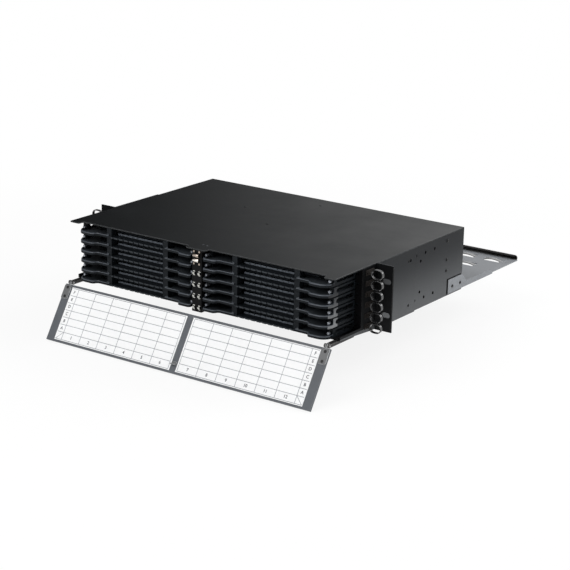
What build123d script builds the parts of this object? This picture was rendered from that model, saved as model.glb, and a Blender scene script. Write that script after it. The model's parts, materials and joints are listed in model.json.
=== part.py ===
from build123d import *
from math import cos, radians, sin
import os

# Two-unit rack fibre patch panel: a steel case with twelve sliding split trays, a fold-down
# label door, cable rings at the ears and an open slack plate behind. Millimetres.
# Frame: the origin is the centre of the rack hole pattern on the back face of the ears.
# +X is to the right seen from the front, +Y runs back into the rack, +Z is up.

# Rack standard
rack_width = 482.6
rack_unit = 44.45
unit_count = 2
height_relief = 0.8
rack_hole_inset = 8.75
rack_slot_length = 12.0
rack_slot_height = 7.0

# Case
sheet = 1.5
ear_reach = 25.3
body_rear = 220.0
pan_front = -80.0
pan_ramp_start = -10.0
pan_ramp_end = -72.0
pan_ramp_rise = 4.6
front_rail_height = 4.8
wall_front = -33.0
wall_corner_radius = 8.0
bracket_hole_first = 95.8
bracket_hole_pitch = 23.5
bracket_hole_count = 3
bracket_hole_z = 30.7
bracket_hole_radius = 2.2
middle_hole_z = 21.2
bracket_screw_y = 77.0
bracket_screw_zs = (28.7, -32.0)
side_rivet_y = 176.0
side_rivet_z = 7.7

# Top cover
cover_tab_front = -96.0
cover_recess_front = -87.0
cover_end_tab = 17.0
cover_centre_tab = 33.0
cover_corner_radius = 3.0
cover_flange_depth = 14.0
cover_flange_front = 165.0
cover_flange_rear = 212.0
cover_rear_flange = 10.0
cover_screw_drop = 9.9
cover_rivet_radius = 2.4
cover_rivet_head = 0.4
cover_rivet_ys = (62.3, 190.3)
cover_side_rivet = (-77.5, 116.7)
post_rivet_y = -75.0
post_rivet_offset = 3.0

# Rack brackets
ear_sheet = 2.0
bracket_depth = 93.0
bracket_slot_length = 9.0
bend_radius = 1.5

# Slack plate behind the case
slack_rear = 388.0
slack_front = 193.0
slack_inset = 3.0
slack_tab_front = 183.2
slack_tab_height = 20.0
slack_tab_rear = 222.0
slack_tab_slope = 11.0
slack_lip_height = 8.0
slack_lip_rear = 301.0
slack_lip_end = 7.0
slack_gap = 2.0
slack_front_gap = 4.2
slack_patch_margin = 3.0
rear_lip_height = 8.0
rear_lip_corner = 4.0
rear_hem_radius = 1.6
slack_screw_ys = (194.5, 215.5)
slack_screw_height = 9.0
tie_length = 27.0
tie_bridge = 5.0
tie_slot = 5.5
tie_rise = 2.2
tie_insets = ((31.0, 366.0), (73.0, 366.0), (52.0, 326.0))

# Tray stack
tray_rows = 6
tray_gap = 0.7
pan_clearance = 0.3
cover_clearance = 0.5
guide_width = 9.2
tray_inner = 13.2
tray_step = 3.2
tray_rear = 130.0
tray_floor = 2.0
tray_side = 1.8
tray_side_drop = 1.2
lip_front = -88.0
lip_end_front = -95.0
lip_height = 4.0
lip_wall = 2.0
lip_curve = 10.0
lip_inner_inset = 12.8
lip_outer_inset = 25.3
corner_radius_inner = 4.0
corner_radius_outer = 15.0
step_y = -75.0
pillar_front = -86.5
pillar_depth = 10.5
pillar_width = 7.8
pillar_inner_inset = 43.7
pillar_outer_inset = 51.6
tooth_count = 10
tooth_gap = 2.6
tooth_depth = 1.3
ridge_front = -67.2
ridge_depth = 2.4
ridge_height = 4.7
ridge_chamfer = 1.4
guide_arc_radius = 25.0
guide_arc_wall = 1.6
guide_arc_height = 8.0
guide_arc_gap = 4.0
exit_front = -75.0
exit_rear = -35.0
exit_height = 5.6
cassette_places = 6
rail_margin = 9.0
rail_front = -50.0
rail_rear = 118.0
rail_width = 1.6
rail_height = 3.0
rear_rim_height = 5.0
knob_post = 5.8
knob_post_front = -79.5
knob_post_depth = 5.5
knob_radius = 2.7
knob_length = 5.0
knob_outer_inset = 4.9
knob_inner_inset = 3.4

# Tray guides
runner_reach = 4.7
runner_inner_reach = 3.8
runner_height = 2.8
runner_front = -30.0
runner_inner_front = -66.0
guide_clearance = 0.3
groove_clearance = 0.3
guide_rear = 160.0
centre_guide_front = -72.0
guide_end_gap = 0.3

# Centre divider and post
web = 1.5
post_width = 15.6
post_front = -92.0
post_depth = 10.0
post_rise = 2.05
divider_rear = 190.0
spring_offset = 4.3
spring_width = 3.2
spring_height = 6.2
spring_count = 4
spring_pitch = 15.4
spring_lowest_z = -36.0
spring_foot = 1.0
spring_shoulder = 1.0
spring_rise = 2.2
spring_sheet = 0.5

# Door catch and strike
catch_width = 10.0
catch_strap_height = 19.0
catch_plate = 1.2
catch_reach = 4.6
catch_jaw = 2.2
catch_gap = 2.4
strike_length = 5.0
strike_width = 8.0
strike_sheet = 1.4
strike_foot = 4.0
catch_drop = 12.85

# Cable rings
ring_width = 17.5
ring_height = 13.0
ring_spacing = 1.1
ring_top_drop = 1.85
ring_wall = 1.6
ring_depth = 4.5
ring_rear = -19.5
ring_gap = 6.0
ring_slit = 2.4
ring_slit_angle = -50.0
ring_arm_height = 3.6
ring_foot_length = 18.0
ring_foot_height = 7.0
ring_foot = 1.5
ring_foot_rear = -8.0

# Label door, measured from its hinge axis
door_overhang = 1.75
door_top_gap = 1.0
door_thickness = 3.0
door_side_border = 13.0
door_centre_bar = 9.6
door_top_bar = 3.0
door_bottom_bar = 3.0
door_offset = 3.3
door_open_angle = 148.4
card_thickness = 0.8
card_recess = 0.2
card_clearance = 0.2
hinge_y = -99.7
hinge_rise = 3.0
hinge_pin_radius = 1.2
hinge_pin_clearance = 0.05
hinge_plate_width = 11.6
hinge_plate_length = 19.8
hinge_plate_start = 1.4
hinge_plate = 1.2
hinge_plate_corner = 2.0
hinge_tab_width = 3.2
hinge_cheek = 2.0
hinge_side_gap = 0.4
hinge_arm_rear = -46.0
hinge_arm_drop = 2.25
door_screw_first = 3.3
door_screw_pitch = 12.8
door_screw_radius = 2.1
door_screw_head = 0.6

# Screws of the case
screw_radius = 2.4
screw_head = 1.2
bracket_screw_radius = 2.1

# Small rounds that repeat many times have this many flats, and so have the cable rings
small_round_sides = 12
ring_sides = 16

# Values that follow from the sizes above
panel_height = rack_unit * unit_count - height_relief
rack_hole_spacing = rack_width - 2 * rack_hole_inset
body_width = rack_width - 2 * ear_reach
top = panel_height / 2
bottom = -top
half_body = body_width / 2
wall_inner = half_body - sheet
wall_top = top - sheet
pan_top = bottom + sheet
rail_top = bottom + pan_ramp_rise + front_rail_height
stack_bottom = bottom + pan_ramp_rise + sheet + pan_clearance
tray_pitch = (wall_top - cover_clearance + tray_gap - stack_bottom) / tray_rows
tray_height = tray_pitch - tray_gap
tray_middle = tray_height / 2
side_height = tray_height - tray_side_drop
tray_outer = wall_inner - guide_width
tray_front_inner = tray_inner - tray_step
lip_inner_flat = tray_inner + lip_inner_inset
lip_outer_flat = tray_outer - lip_outer_inset
pillar_centres = (tray_inner + pillar_inner_inset, tray_outer - pillar_outer_inset)
guide_inner = tray_outer + guide_clearance
groove_outer = tray_outer + runner_reach + groove_clearance
centre_guide_outer = tray_inner - guide_clearance
groove_inner = tray_inner - runner_inner_reach - groove_clearance
post_bottom = bottom + post_rise
slack_floor = pan_top
slack_top = slack_floor + sheet
patch_inner = wall_inner - sheet
ring_inner = half_body + ring_gap
ring_pitch = ring_height + ring_spacing
ring_highest_z = top - ring_top_drop - ring_height / 2
hinge_z = bottom + hinge_rise
door_width = body_width + 2 * door_overhang
door_height = top - door_top_gap - hinge_z - door_offset
catch_z = top - catch_drop
strike_distance = catch_z - hinge_z
hinge_arm_width = hinge_tab_width + 2 * hinge_side_gap + 2 * hinge_cheek
hinge_x = wall_inner - hinge_arm_width / 2
hinge_plate_x = (door_width - hinge_plate_width) / 2
hinge_knuckle_radius = door_thickness / 2 + hinge_plate


def keep(piece, name):
    """Label one finished piece and write it as its own file."""
    piece.part.label = name
    export_step(piece.part, f"parts/{name}.step")


def side_name(side):
    """Give the word for the side that a sign stands for."""
    return "right" if side > 0 else "left"


def row_base(row):
    """Give the underside height of one tray row, counted from the lowest."""
    return stack_bottom + (row - 1) * tray_pitch


def small_round(radius, mode=Mode.ADD):
    """Draw one small hole, head or knob on the current sketch."""
    RegularPolygon(radius, small_round_sides, mode=mode)


def pan_lift(y):
    """Give how far the pan's front ramp has risen at one depth."""
    run = pan_ramp_start - pan_ramp_end
    return pan_ramp_rise * max(0.0, min(1.0, (pan_ramp_start - y) / run))


def bracket_hole_ys():
    """Give the depths of the bracket holes along the side wall."""
    return [bracket_hole_first + bracket_hole_pitch * step for step in range(bracket_hole_count)]


# Case bottom: one folded sheet with both side walls, a ramped front and low front rails
def build_chassis_base():
    """Make the pan with its side walls, hole pattern and joggled rear patches."""
    with BuildPart() as chassis:
        with BuildSketch(Plane.YZ):
            with BuildLine():
                Polyline(
                    (pan_front, bottom + pan_ramp_rise),
                    (pan_ramp_end, bottom + pan_ramp_rise),
                    (pan_ramp_start, bottom),
                    (body_rear, bottom),
                    (body_rear, pan_top),
                    (pan_ramp_start, pan_top),
                    (pan_ramp_end, pan_top + pan_ramp_rise),
                    (pan_front, pan_top + pan_ramp_rise),
                    close=True,
                )
            make_face()
        extrude(amount=half_body, both=True)
        for side in (-1, 1):
            with BuildSketch(Plane.YZ.offset(side * (half_body - sheet / 2))):
                with BuildLine():
                    Polyline(
                        (pan_front, bottom + pan_ramp_rise),
                        (pan_ramp_end, bottom + pan_ramp_rise),
                        (pan_ramp_start, bottom),
                        (body_rear, bottom),
                        (body_rear, wall_top),
                        (wall_front, wall_top),
                        (wall_front, rail_top),
                        (pan_front, rail_top),
                        close=True,
                    )
                corner = make_face().vertices().sort_by_distance((0, wall_front, rail_top))[0]
                fillet(corner, radius=wall_corner_radius)
                notch_front = slack_tab_front - slack_front_gap
                notch_top = slack_floor + slack_tab_height + slack_gap
                with Locations((notch_front, slack_floor)):
                    Rectangle(
                        body_rear - notch_front,
                        notch_top - slack_floor,
                        align=(Align.MIN, Align.MIN),
                        mode=Mode.SUBTRACT,
                    )
                for hole_y in bracket_hole_ys():
                    with Locations((hole_y, bracket_hole_z), (hole_y, -bracket_hole_z)):
                        small_round(bracket_hole_radius, Mode.SUBTRACT)
                between = bracket_hole_first + bracket_hole_pitch / 2
                with Locations((between, middle_hole_z), (between, -middle_hole_z)):
                    small_round(bracket_hole_radius, Mode.SUBTRACT)
            extrude(amount=sheet / 2, both=True)
            with BuildSketch(Plane.YZ.offset(side * (wall_inner - sheet / 2))):
                with Locations((notch_front - slack_patch_margin, slack_floor)):
                    Rectangle(
                        body_rear - notch_front + slack_patch_margin,
                        notch_top - slack_floor + slack_patch_margin,
                        align=(Align.MIN, Align.MIN),
                    )
            extrude(amount=sheet / 2, both=True)
    return chassis


# Top cover: a flat sheet with finger recesses along its front edge
def build_top_cover():
    """Make the cover with its recessed front, inner side flanges and rear flange."""
    recess_width = half_body - cover_end_tab - cover_centre_tab / 2
    recess_middle = (cover_centre_tab / 2 + half_body - cover_end_tab) / 2
    recess_depth = cover_recess_front - cover_tab_front
    with BuildPart() as cover:
        with BuildSketch(Plane.XY.offset(wall_top)):
            with Locations((0, cover_tab_front)):
                Rectangle(body_width, body_rear - cover_tab_front, align=(Align.CENTER, Align.MIN))
            with Locations((recess_middle, cover_tab_front), (-recess_middle, cover_tab_front)):
                Rectangle(
                    recess_width, recess_depth, align=(Align.CENTER, Align.MIN), mode=Mode.SUBTRACT
                )
            fillet(cover_front_corners(vertices()), radius=cover_corner_radius)
        extrude(amount=sheet)
        for side in (-1, 1):
            with BuildSketch(Plane.YZ.offset(side * (wall_inner - sheet / 2 - guide_end_gap))):
                with Locations((cover_flange_front, wall_top)):
                    Rectangle(
                        cover_flange_rear - cover_flange_front,
                        cover_flange_depth,
                        align=(Align.MIN, Align.MAX),
                    )
            extrude(amount=sheet / 2, both=True)
        with BuildSketch(Plane.XZ.offset(-body_rear)):
            with Locations((0, wall_top)):
                Rectangle(
                    2 * wall_inner - 2 * slack_inset, cover_rear_flange, align=(Align.CENTER, Align.MAX)
                )
        extrude(amount=sheet)
    return cover


def cover_front_corners(corners):
    """Pick the corners that shape the cover's front edge."""
    return [corner for corner in corners if corner.Y < cover_recess_front + sheet]


def cover_rivet_places():
    """Give the rivets that hold the cover to the centre divider and post."""
    spine = [(0, rivet_y) for rivet_y in cover_rivet_ys]
    front = [(-post_rivet_offset, post_rivet_y), (post_rivet_offset, post_rivet_y)]
    return spine + front + [cover_side_rivet]


# Rack brackets: an angle with slots for the rack screws
def build_rack_bracket(side):
    """Make one ear with its side plate against the case wall."""
    slot_x = side * rack_hole_spacing / 2
    slot_z = rack_unit * (unit_count - 1) / 2
    with BuildPart() as bracket:
        with BuildSketch(Plane.XY.offset(bottom)):
            with BuildLine():
                Polyline(
                    (side * half_body, -ear_sheet),
                    (side * rack_width / 2, -ear_sheet),
                    (side * rack_width / 2, 0),
                    (side * (half_body + ear_sheet), 0),
                    (side * (half_body + ear_sheet), bracket_depth),
                    (side * half_body, bracket_depth),
                    close=True,
                )
            make_face()
            bend = vertices().sort_by_distance((side * half_body, -ear_sheet, bottom))[0]
            fillet(bend, radius=bend_radius)
        extrude(amount=panel_height)
        with BuildSketch(Plane.XZ):
            with Locations((slot_x, slot_z), (slot_x, -slot_z)):
                SlotOverall(rack_slot_length, rack_slot_height)
        extrude(amount=ear_sheet, mode=Mode.SUBTRACT)
        with BuildSketch(Plane.YZ.offset(side * half_body)):
            with Locations((bracket_screw_y, bracket_screw_zs[0])):
                SlotOverall(bracket_slot_length, 2 * bracket_hole_radius)
            with Locations((bracket_screw_y, bracket_screw_zs[1])):
                small_round(bracket_hole_radius)
        extrude(amount=side * ear_sheet, mode=Mode.SUBTRACT)
    return bracket


# Slack plate: a shelf for spare fibre with lanced tie bridges and a hemmed rear lip
def build_slack_plate():
    """Make the rear plate with its side tabs, tie bridges and rear lip."""
    inner = patch_inner - guide_end_gap
    side_rear = slack_lip_rear + slack_lip_end
    with BuildPart() as plate:
        with BuildSketch(Plane.XY.offset(slack_floor)):
            with BuildLine():
                Polyline(
                    (-inner, slack_front),
                    (inner, slack_front),
                    (inner, body_rear + guide_end_gap),
                    (half_body, body_rear + guide_end_gap),
                    (half_body, side_rear),
                    (half_body - slack_inset, side_rear),
                    (half_body - slack_inset, slack_rear),
                    (slack_inset - half_body, slack_rear),
                    (slack_inset - half_body, side_rear),
                    (-half_body, side_rear),
                    (-half_body, body_rear + guide_end_gap),
                    (-inner, body_rear + guide_end_gap),
                    close=True,
                )
            make_face()
            with Locations(*tie_places()):
                Rectangle(tie_length, tie_bridge + 2 * tie_slot, mode=Mode.SUBTRACT)
        extrude(amount=sheet)
        for place_x, place_y in tie_places():
            with BuildSketch(Plane.XZ.offset(-place_y - tie_bridge / 2)):
                with BuildLine():
                    tie_arch(place_x)
                make_face()
            extrude(amount=tie_bridge)
        for side in (-1, 1):
            with BuildSketch(Plane.YZ.offset(side * (half_body - sheet / 2))):
                with BuildLine():
                    Polyline(
                        (slack_tab_front, slack_floor),
                        (slack_tab_front, slack_floor + slack_tab_height),
                        (slack_tab_rear, slack_floor + slack_tab_height),
                        (slack_tab_rear + slack_tab_slope, slack_floor + slack_lip_height),
                        (slack_lip_rear, slack_floor + slack_lip_height),
                        (side_rear, slack_top),
                        (side_rear, slack_floor),
                        close=True,
                    )
                make_face()
            extrude(amount=sheet / 2, both=True)
        with BuildSketch(Plane.XZ.offset(-slack_rear)):
            with Locations((0, slack_floor)):
                Rectangle(
                    2 * (half_body - slack_inset), rear_lip_height, align=(Align.CENTER, Align.MIN)
                )
            ends = vertices().group_by(Axis.Z)[-1]
            fillet(ends, radius=rear_lip_corner)
        extrude(amount=sheet)
        with BuildSketch(Plane.YZ):
            with Locations((slack_rear - rear_hem_radius, slack_floor + rear_lip_height - rear_hem_radius)):
                Circle(rear_hem_radius)
        extrude(amount=half_body - slack_inset - rear_lip_corner, both=True)
    return plate


def tie_places():
    """Give the middles of the tie bridges on both halves of the plate."""
    return [(sign * (half_body - inset), y) for inset, y in tie_insets for sign in (-1, 1)]


def tie_arch(place_x):
    """Draw the side view of one raised tie bridge on the current line."""
    half = tie_length / 2
    foot = slack_floor
    Line((place_x - half, foot), (place_x - half, slack_top))
    ThreePointArc((place_x - half, slack_top), (place_x, slack_top + tie_rise), (place_x + half, slack_top))
    Line((place_x + half, slack_top), (place_x + half, foot))
    ThreePointArc((place_x + half, foot), (place_x, foot + tie_rise), (place_x - half, foot))


# Centre divider: a web between the two tray stacks, folded into a front post
def build_centre_divider():
    """Make the web with its top flange, foot and channel post."""
    foot_front = pan_ramp_start + sheet
    with BuildPart() as divider:
        with BuildSketch(Plane.YZ):
            with BuildLine():
                Polyline(
                    (post_front + sheet, post_bottom),
                    (pan_front - sheet, post_bottom),
                    (pan_front - sheet, pan_top + pan_ramp_rise + pan_clearance),
                    (pan_ramp_end, pan_top + pan_ramp_rise + pan_clearance),
                    (pan_ramp_start, pan_top + pan_clearance),
                    (foot_front, pan_top + pan_clearance),
                    (foot_front, pan_top),
                    (divider_rear, pan_top),
                    (divider_rear, wall_top - sheet),
                    (post_front + sheet, wall_top - sheet),
                    close=True,
                )
            make_face()
        extrude(amount=web / 2, both=True)
        with BuildSketch(Plane.XY.offset(post_bottom)):
            with Locations((0, post_front)):
                Rectangle(post_width, post_depth, align=(Align.CENTER, Align.MIN))
            with Locations((0, post_front + sheet)):
                Rectangle(
                    post_width - 2 * sheet,
                    post_depth,
                    align=(Align.CENTER, Align.MIN),
                    mode=Mode.SUBTRACT,
                )
        extrude(amount=wall_top - sheet - post_bottom)
        with BuildSketch(Plane.XY.offset(wall_top)):
            with Locations((0, post_front)):
                Rectangle(post_width, divider_rear - post_front, align=(Align.CENTER, Align.MIN))
        extrude(amount=-sheet)
        with BuildSketch(Plane.XY.offset(pan_top)):
            with Locations((0, foot_front)):
                Rectangle(post_width, divider_rear - foot_front, align=(Align.CENTER, Align.MIN))
        extrude(amount=sheet)
    return divider


# Guides: grooved columns that the tray runners slide in
def guide_grooves(x_low, x_high, front):
    """Cut one groove for each tray row through the current guide."""
    groove = runner_height + 2 * groove_clearance
    for row in range(1, tray_rows + 1):
        with BuildSketch(Plane.XZ.offset(-guide_rear)) as groove_face:
            with Locations((x_low, row_base(row) + tray_middle)):
                Rectangle(x_high - x_low, groove, align=(Align.MIN, Align.CENTER))
        extrude(groove_face.sketch, amount=guide_rear - front, mode=Mode.SUBTRACT)


def guide_side_view(front, low, high):
    """Draw the side view of one guide, which follows the ramp of the pan."""
    Polyline(
        (front, pan_top + pan_lift(front) + guide_end_gap),
        (pan_ramp_start, low),
        (guide_rear, low),
        (guide_rear, high),
        (front, high),
        close=True,
    )


def build_side_guide(side):
    """Make the guide column against one side wall."""
    with BuildPart() as guide:
        with BuildSketch(Plane.YZ.offset(guide_inner)):
            with BuildLine():
                guide_side_view(wall_front, pan_top + guide_end_gap, wall_top - guide_end_gap)
            make_face()
        extrude(amount=wall_inner - guide_inner)
        guide_grooves(guide_inner, groove_outer, wall_front)
        if side < 0:
            mirror(about=Plane.YZ, mode=Mode.REPLACE)
    return guide


def build_centre_guide(side):
    """Make the guide column on one face of the centre divider."""
    low = pan_top + sheet + guide_end_gap
    high = wall_top - sheet - guide_end_gap
    with BuildPart() as guide:
        with BuildSketch(Plane.YZ.offset(web / 2)):
            with BuildLine():
                guide_side_view(centre_guide_front, low, high)
            make_face()
        extrude(amount=centre_guide_outer - web / 2)
        guide_grooves(groove_inner, centre_guide_outer, centre_guide_front)
        if side < 0:
            mirror(about=Plane.YZ, mode=Mode.REPLACE)
    return guide


# Trays: moulded floors with swept fibre lips, toothed front, exit slots and runners
def tray_outline():
    """Draw the plan of the right-hand tray floor on the current line."""
    inner_mid = (lip_inner_flat + lip_curve / 2, (lip_front + lip_end_front) / 2)
    outer_mid = (lip_outer_flat - lip_curve / 2, (lip_front + lip_end_front) / 2)
    Polyline(
        (tray_front_inner, lip_end_front + corner_radius_inner),
        (tray_front_inner, step_y),
        (tray_inner, step_y),
        (tray_inner, tray_rear),
        (tray_outer, tray_rear),
        (tray_outer, lip_end_front + corner_radius_outer),
    )
    RadiusArc(
        (tray_outer, lip_end_front + corner_radius_outer),
        (tray_outer - corner_radius_outer, lip_end_front),
        radius=corner_radius_outer,
    )
    Line((tray_outer - corner_radius_outer, lip_end_front), (lip_outer_flat, lip_end_front))
    TangentArc((lip_outer_flat, lip_end_front), outer_mid, tangent=(-1, 0))
    TangentArc((lip_outer_flat - lip_curve, lip_front), outer_mid, tangent=(1, 0))
    Line((lip_outer_flat - lip_curve, lip_front), (lip_inner_flat + lip_curve, lip_front))
    TangentArc((lip_inner_flat + lip_curve, lip_front), inner_mid, tangent=(-1, 0))
    TangentArc((lip_inner_flat, lip_end_front), inner_mid, tangent=(1, 0))
    Line((lip_inner_flat, lip_end_front), (tray_front_inner + corner_radius_inner, lip_end_front))
    RadiusArc(
        (tray_front_inner + corner_radius_inner, lip_end_front),
        (tray_front_inner, lip_end_front + corner_radius_inner),
        radius=corner_radius_inner,
    )


def tray_teeth():
    """Cut the gaps between the front teeth into the current floor sketch."""
    first, last = pillar_centres
    span = last - first - pillar_width
    pitch = span / tooth_count
    start = first + pillar_width / 2
    for gap in range(tooth_count):
        with Locations((start + pitch * (gap + 0.5), lip_front)):
            Rectangle(tooth_gap, tooth_depth, align=(Align.CENTER, Align.MIN), mode=Mode.SUBTRACT)


def tray_trough():
    """Draw the inner line of the fibre lips on the current line."""
    Polyline(
        (tray_outer - lip_wall, lip_end_front + corner_radius_outer),
        (tray_outer - lip_wall, step_y),
        (tray_front_inner + lip_wall, step_y),
        (tray_front_inner + lip_wall, lip_end_front + lip_wall),
        (lip_inner_flat, lip_end_front + lip_wall),
        (lip_inner_flat + lip_curve, lip_front + lip_wall),
        (lip_outer_flat - lip_curve, lip_front + lip_wall),
        (lip_outer_flat, lip_end_front + lip_wall),
        (tray_outer - corner_radius_outer, lip_end_front + lip_wall),
    )
    RadiusArc(
        (tray_outer - lip_wall, lip_end_front + corner_radius_outer),
        (tray_outer - corner_radius_outer, lip_end_front + lip_wall),
        radius=corner_radius_outer - lip_wall,
    )


def tray_front_rim(base):
    """Raise the rims of the fibre lips on both sides of the pillars."""
    first, last = pillar_centres
    with BuildSketch(Plane.XY.offset(base)) as rim_face:
        with BuildLine():
            tray_outline()
        make_face()
        with BuildLine():
            tray_trough()
        make_face(mode=Mode.SUBTRACT)
        with Locations((tray_front_inner, step_y)):
            Rectangle(
                tray_outer - tray_front_inner,
                step_y - lip_end_front,
                align=(Align.MIN, Align.MAX),
                mode=Mode.INTERSECT,
            )
        with Locations(((first + last) / 2, lip_front)):
            Rectangle(last - first, lip_wall, align=(Align.CENTER, Align.MIN), mode=Mode.SUBTRACT)
    extrude(rim_face.sketch, amount=lip_height)


def tray_walls(base):
    """Add the side plates, the rear rim and the runners."""
    with BuildSketch(Plane.YZ.offset(tray_outer - tray_side)) as wall_face:
        with Locations((lip_end_front + corner_radius_outer, base)):
            Rectangle(
                tray_rear - lip_end_front - corner_radius_outer, side_height, align=(Align.MIN, Align.MIN)
            )
        with Locations(((exit_front + exit_rear) / 2, base + tray_middle)):
            SlotOverall(exit_rear - exit_front, exit_height, mode=Mode.SUBTRACT)
    extrude(wall_face.sketch, amount=tray_side)
    inner_front = knob_post_front + knob_post_depth
    with BuildSketch(Plane.XY.offset(base)) as wall_face:
        with Locations((tray_inner, inner_front)):
            Rectangle(tray_side, tray_rear - inner_front, align=(Align.MIN, Align.MIN))
    extrude(wall_face.sketch, amount=side_height)
    with BuildSketch(Plane.XY.offset(base)) as wall_face:
        with Locations((tray_inner, tray_rear)):
            Rectangle(tray_outer - tray_inner, tray_side, align=(Align.MIN, Align.MAX))
    extrude(wall_face.sketch, amount=rear_rim_height)
    with BuildSketch(Plane.XY.offset(base + tray_middle - runner_height / 2)) as wall_face:
        with Locations((tray_outer, runner_front)):
            Rectangle(runner_reach, tray_rear - runner_front, align=(Align.MIN, Align.MIN))
        with Locations((tray_inner, runner_inner_front)):
            Rectangle(
                runner_inner_reach, tray_rear - runner_inner_front, align=(Align.MAX, Align.MIN)
            )
    extrude(wall_face.sketch, amount=runner_height)


def tray_front_posts(base):
    """Add the full-height pillars, the knob posts and the ridge with its bend guide."""
    with BuildSketch(Plane.XY.offset(base)) as post_face:
        for centre in pillar_centres:
            with Locations((centre, pillar_front)):
                Rectangle(pillar_width, pillar_depth, align=(Align.CENTER, Align.MIN))
    extrude(post_face.sketch, amount=tray_height)
    with BuildSketch(Plane.XY.offset(base)) as post_face:
        with Locations((tray_front_inner, knob_post_front)):
            Rectangle(knob_post, knob_post_depth, align=(Align.MIN, Align.MIN))
        with Locations((tray_outer - tray_side, knob_post_front)):
            Rectangle(knob_post, knob_post_depth, align=(Align.MAX, Align.MIN))
    extrude(post_face.sketch, amount=side_height)
    turn = tray_outer - tray_side - guide_arc_gap - guide_arc_radius
    first = pillar_centres[0] + pillar_width / 2
    with BuildSketch(Plane.YZ.offset(first)) as post_face:
        with BuildLine():
            Polyline(
                (ridge_front, base),
                (ridge_front, base + ridge_height - ridge_chamfer),
                (ridge_front + ridge_chamfer, base + ridge_height),
                (ridge_front + ridge_depth, base + ridge_height),
                (ridge_front + ridge_depth, base),
                close=True,
            )
        make_face()
    extrude(post_face.sketch, amount=turn - first)
    with BuildSketch(Plane.XY.offset(base)) as post_face:
        with Locations((turn, ridge_front + guide_arc_radius)):
            Circle(guide_arc_radius)
            Circle(guide_arc_radius - guide_arc_wall, mode=Mode.SUBTRACT)
            Rectangle(
                guide_arc_radius, guide_arc_radius, align=(Align.MIN, Align.MAX), mode=Mode.INTERSECT
            )
    extrude(post_face.sketch, amount=guide_arc_height)


def tray_rails(base):
    """Add the rails that part the cassette places on the floor."""
    left = tray_inner + tray_side + rail_margin
    right = tray_outer - tray_side - rail_margin
    pitch = (right - left) / cassette_places
    with BuildSketch(Plane.XY.offset(base)) as rail_face:
        with Locations(((left + right) / 2, (rail_front + rail_rear) / 2)):
            with GridLocations(pitch, 0, cassette_places - 1, 1):
                Rectangle(rail_width, rail_rear - rail_front)
    extrude(rail_face.sketch, amount=rail_height)


def build_tray(side, row):
    """Make one tray of the stack on one side."""
    base = row_base(row)
    with BuildPart() as tray:
        with BuildSketch(Plane.XY.offset(base)):
            with BuildLine():
                tray_outline()
            make_face()
            tray_teeth()
        extrude(amount=tray_floor)
        tray_front_rim(base)
        tray_walls(base)
        tray_front_posts(base)
        tray_rails(base)
        if side < 0:
            mirror(about=Plane.YZ, mode=Mode.REPLACE)
    return tray


def build_tray_knobs(side, row):
    """Make the two round pull knobs on the front corners of one tray."""
    height = row_base(row) + tray_middle
    places = (
        (side * (tray_front_inner + knob_inner_inset), height),
        (side * (tray_outer - knob_outer_inset), height),
    )
    with BuildPart() as knobs:
        with BuildSketch(Plane.XZ.offset(-knob_post_front)):
            with Locations(*places):
                small_round(knob_radius)
        extrude(amount=knob_length)
    return knobs


# Cable rings: one slit ring beside each tray row, on a foot against the case wall
def ring_shape(width, height, mode=Mode.ADD):
    """Draw a ring outline with round ends on the current sketch."""
    reach = (width - height) / 2
    with Locations((-reach, 0), (reach, 0)):
        RegularPolygon(height / 2, ring_sides, mode=mode)
    Rectangle(2 * reach, height, mode=mode)


def build_cable_ring(side, row):
    """Make one cable ring with its arm and foot."""
    middle = ring_highest_z - (tray_rows - row) * ring_pitch
    centre_x = ring_inner + ring_width / 2
    with BuildPart() as ring:
        with BuildSketch(Plane.XZ.offset(-ring_rear)):
            with Locations((centre_x, middle)):
                ring_shape(ring_width, ring_height)
            with Locations((half_body + ring_foot / 2, middle)):
                Rectangle(
                    ring_inner + ring_wall / 2 - half_body - ring_foot / 2,
                    ring_arm_height,
                    align=(Align.MIN, Align.CENTER),
                )
            with Locations((centre_x, middle)):
                ring_shape(ring_width - 2 * ring_wall, ring_height - 2 * ring_wall, Mode.SUBTRACT)
                with Locations(Location((0, 0, 0), (0, 0, ring_slit_angle))):
                    Rectangle(ring_width, ring_slit, align=(Align.MIN, Align.CENTER), mode=Mode.SUBTRACT)
        extrude(amount=ring_depth)
        with BuildSketch(Plane.YZ.offset(half_body)):
            with Locations((ring_foot_rear, middle)):
                Rectangle(ring_foot_length, ring_foot_height, align=(Align.MAX, Align.CENTER))
        extrude(amount=ring_foot)
        if side < 0:
            mirror(about=Plane.YZ, mode=Mode.REPLACE)
    return ring


# Label door, drawn on its open plane: local +X is across, local -Y runs down the open door
open_tilt = radians(door_open_angle - 90)
door_normal = (0, -sin(open_tilt), cos(open_tilt))
door_plane = Plane(origin=(0, hinge_y, hinge_z), x_dir=(1, 0, 0), z_dir=door_normal)
door_face = door_thickness / 2
pocket_height = door_height - door_top_bar - door_bottom_bar
pocket_width = (door_width - door_centre_bar) / 2 - door_side_border
pocket_centre = door_centre_bar / 2 + pocket_width / 2
pocket_top = -door_offset - door_top_bar
pocket_depth = card_thickness + card_recess


def build_door_frame():
    """Make the door plate with its two card pockets and screw holes."""
    with BuildPart() as frame:
        with BuildSketch(door_plane.offset(-door_face)):
            with Locations((0, -door_offset)):
                Rectangle(door_width, door_height, align=(Align.CENTER, Align.MAX))
        extrude(amount=door_thickness)
        with BuildSketch(door_plane.offset(door_face)):
            with Locations((pocket_centre, pocket_top), (-pocket_centre, pocket_top)):
                Rectangle(pocket_width, pocket_height, align=(Align.CENTER, Align.MAX))
        extrude(amount=-pocket_depth, mode=Mode.SUBTRACT)
    return frame


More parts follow.
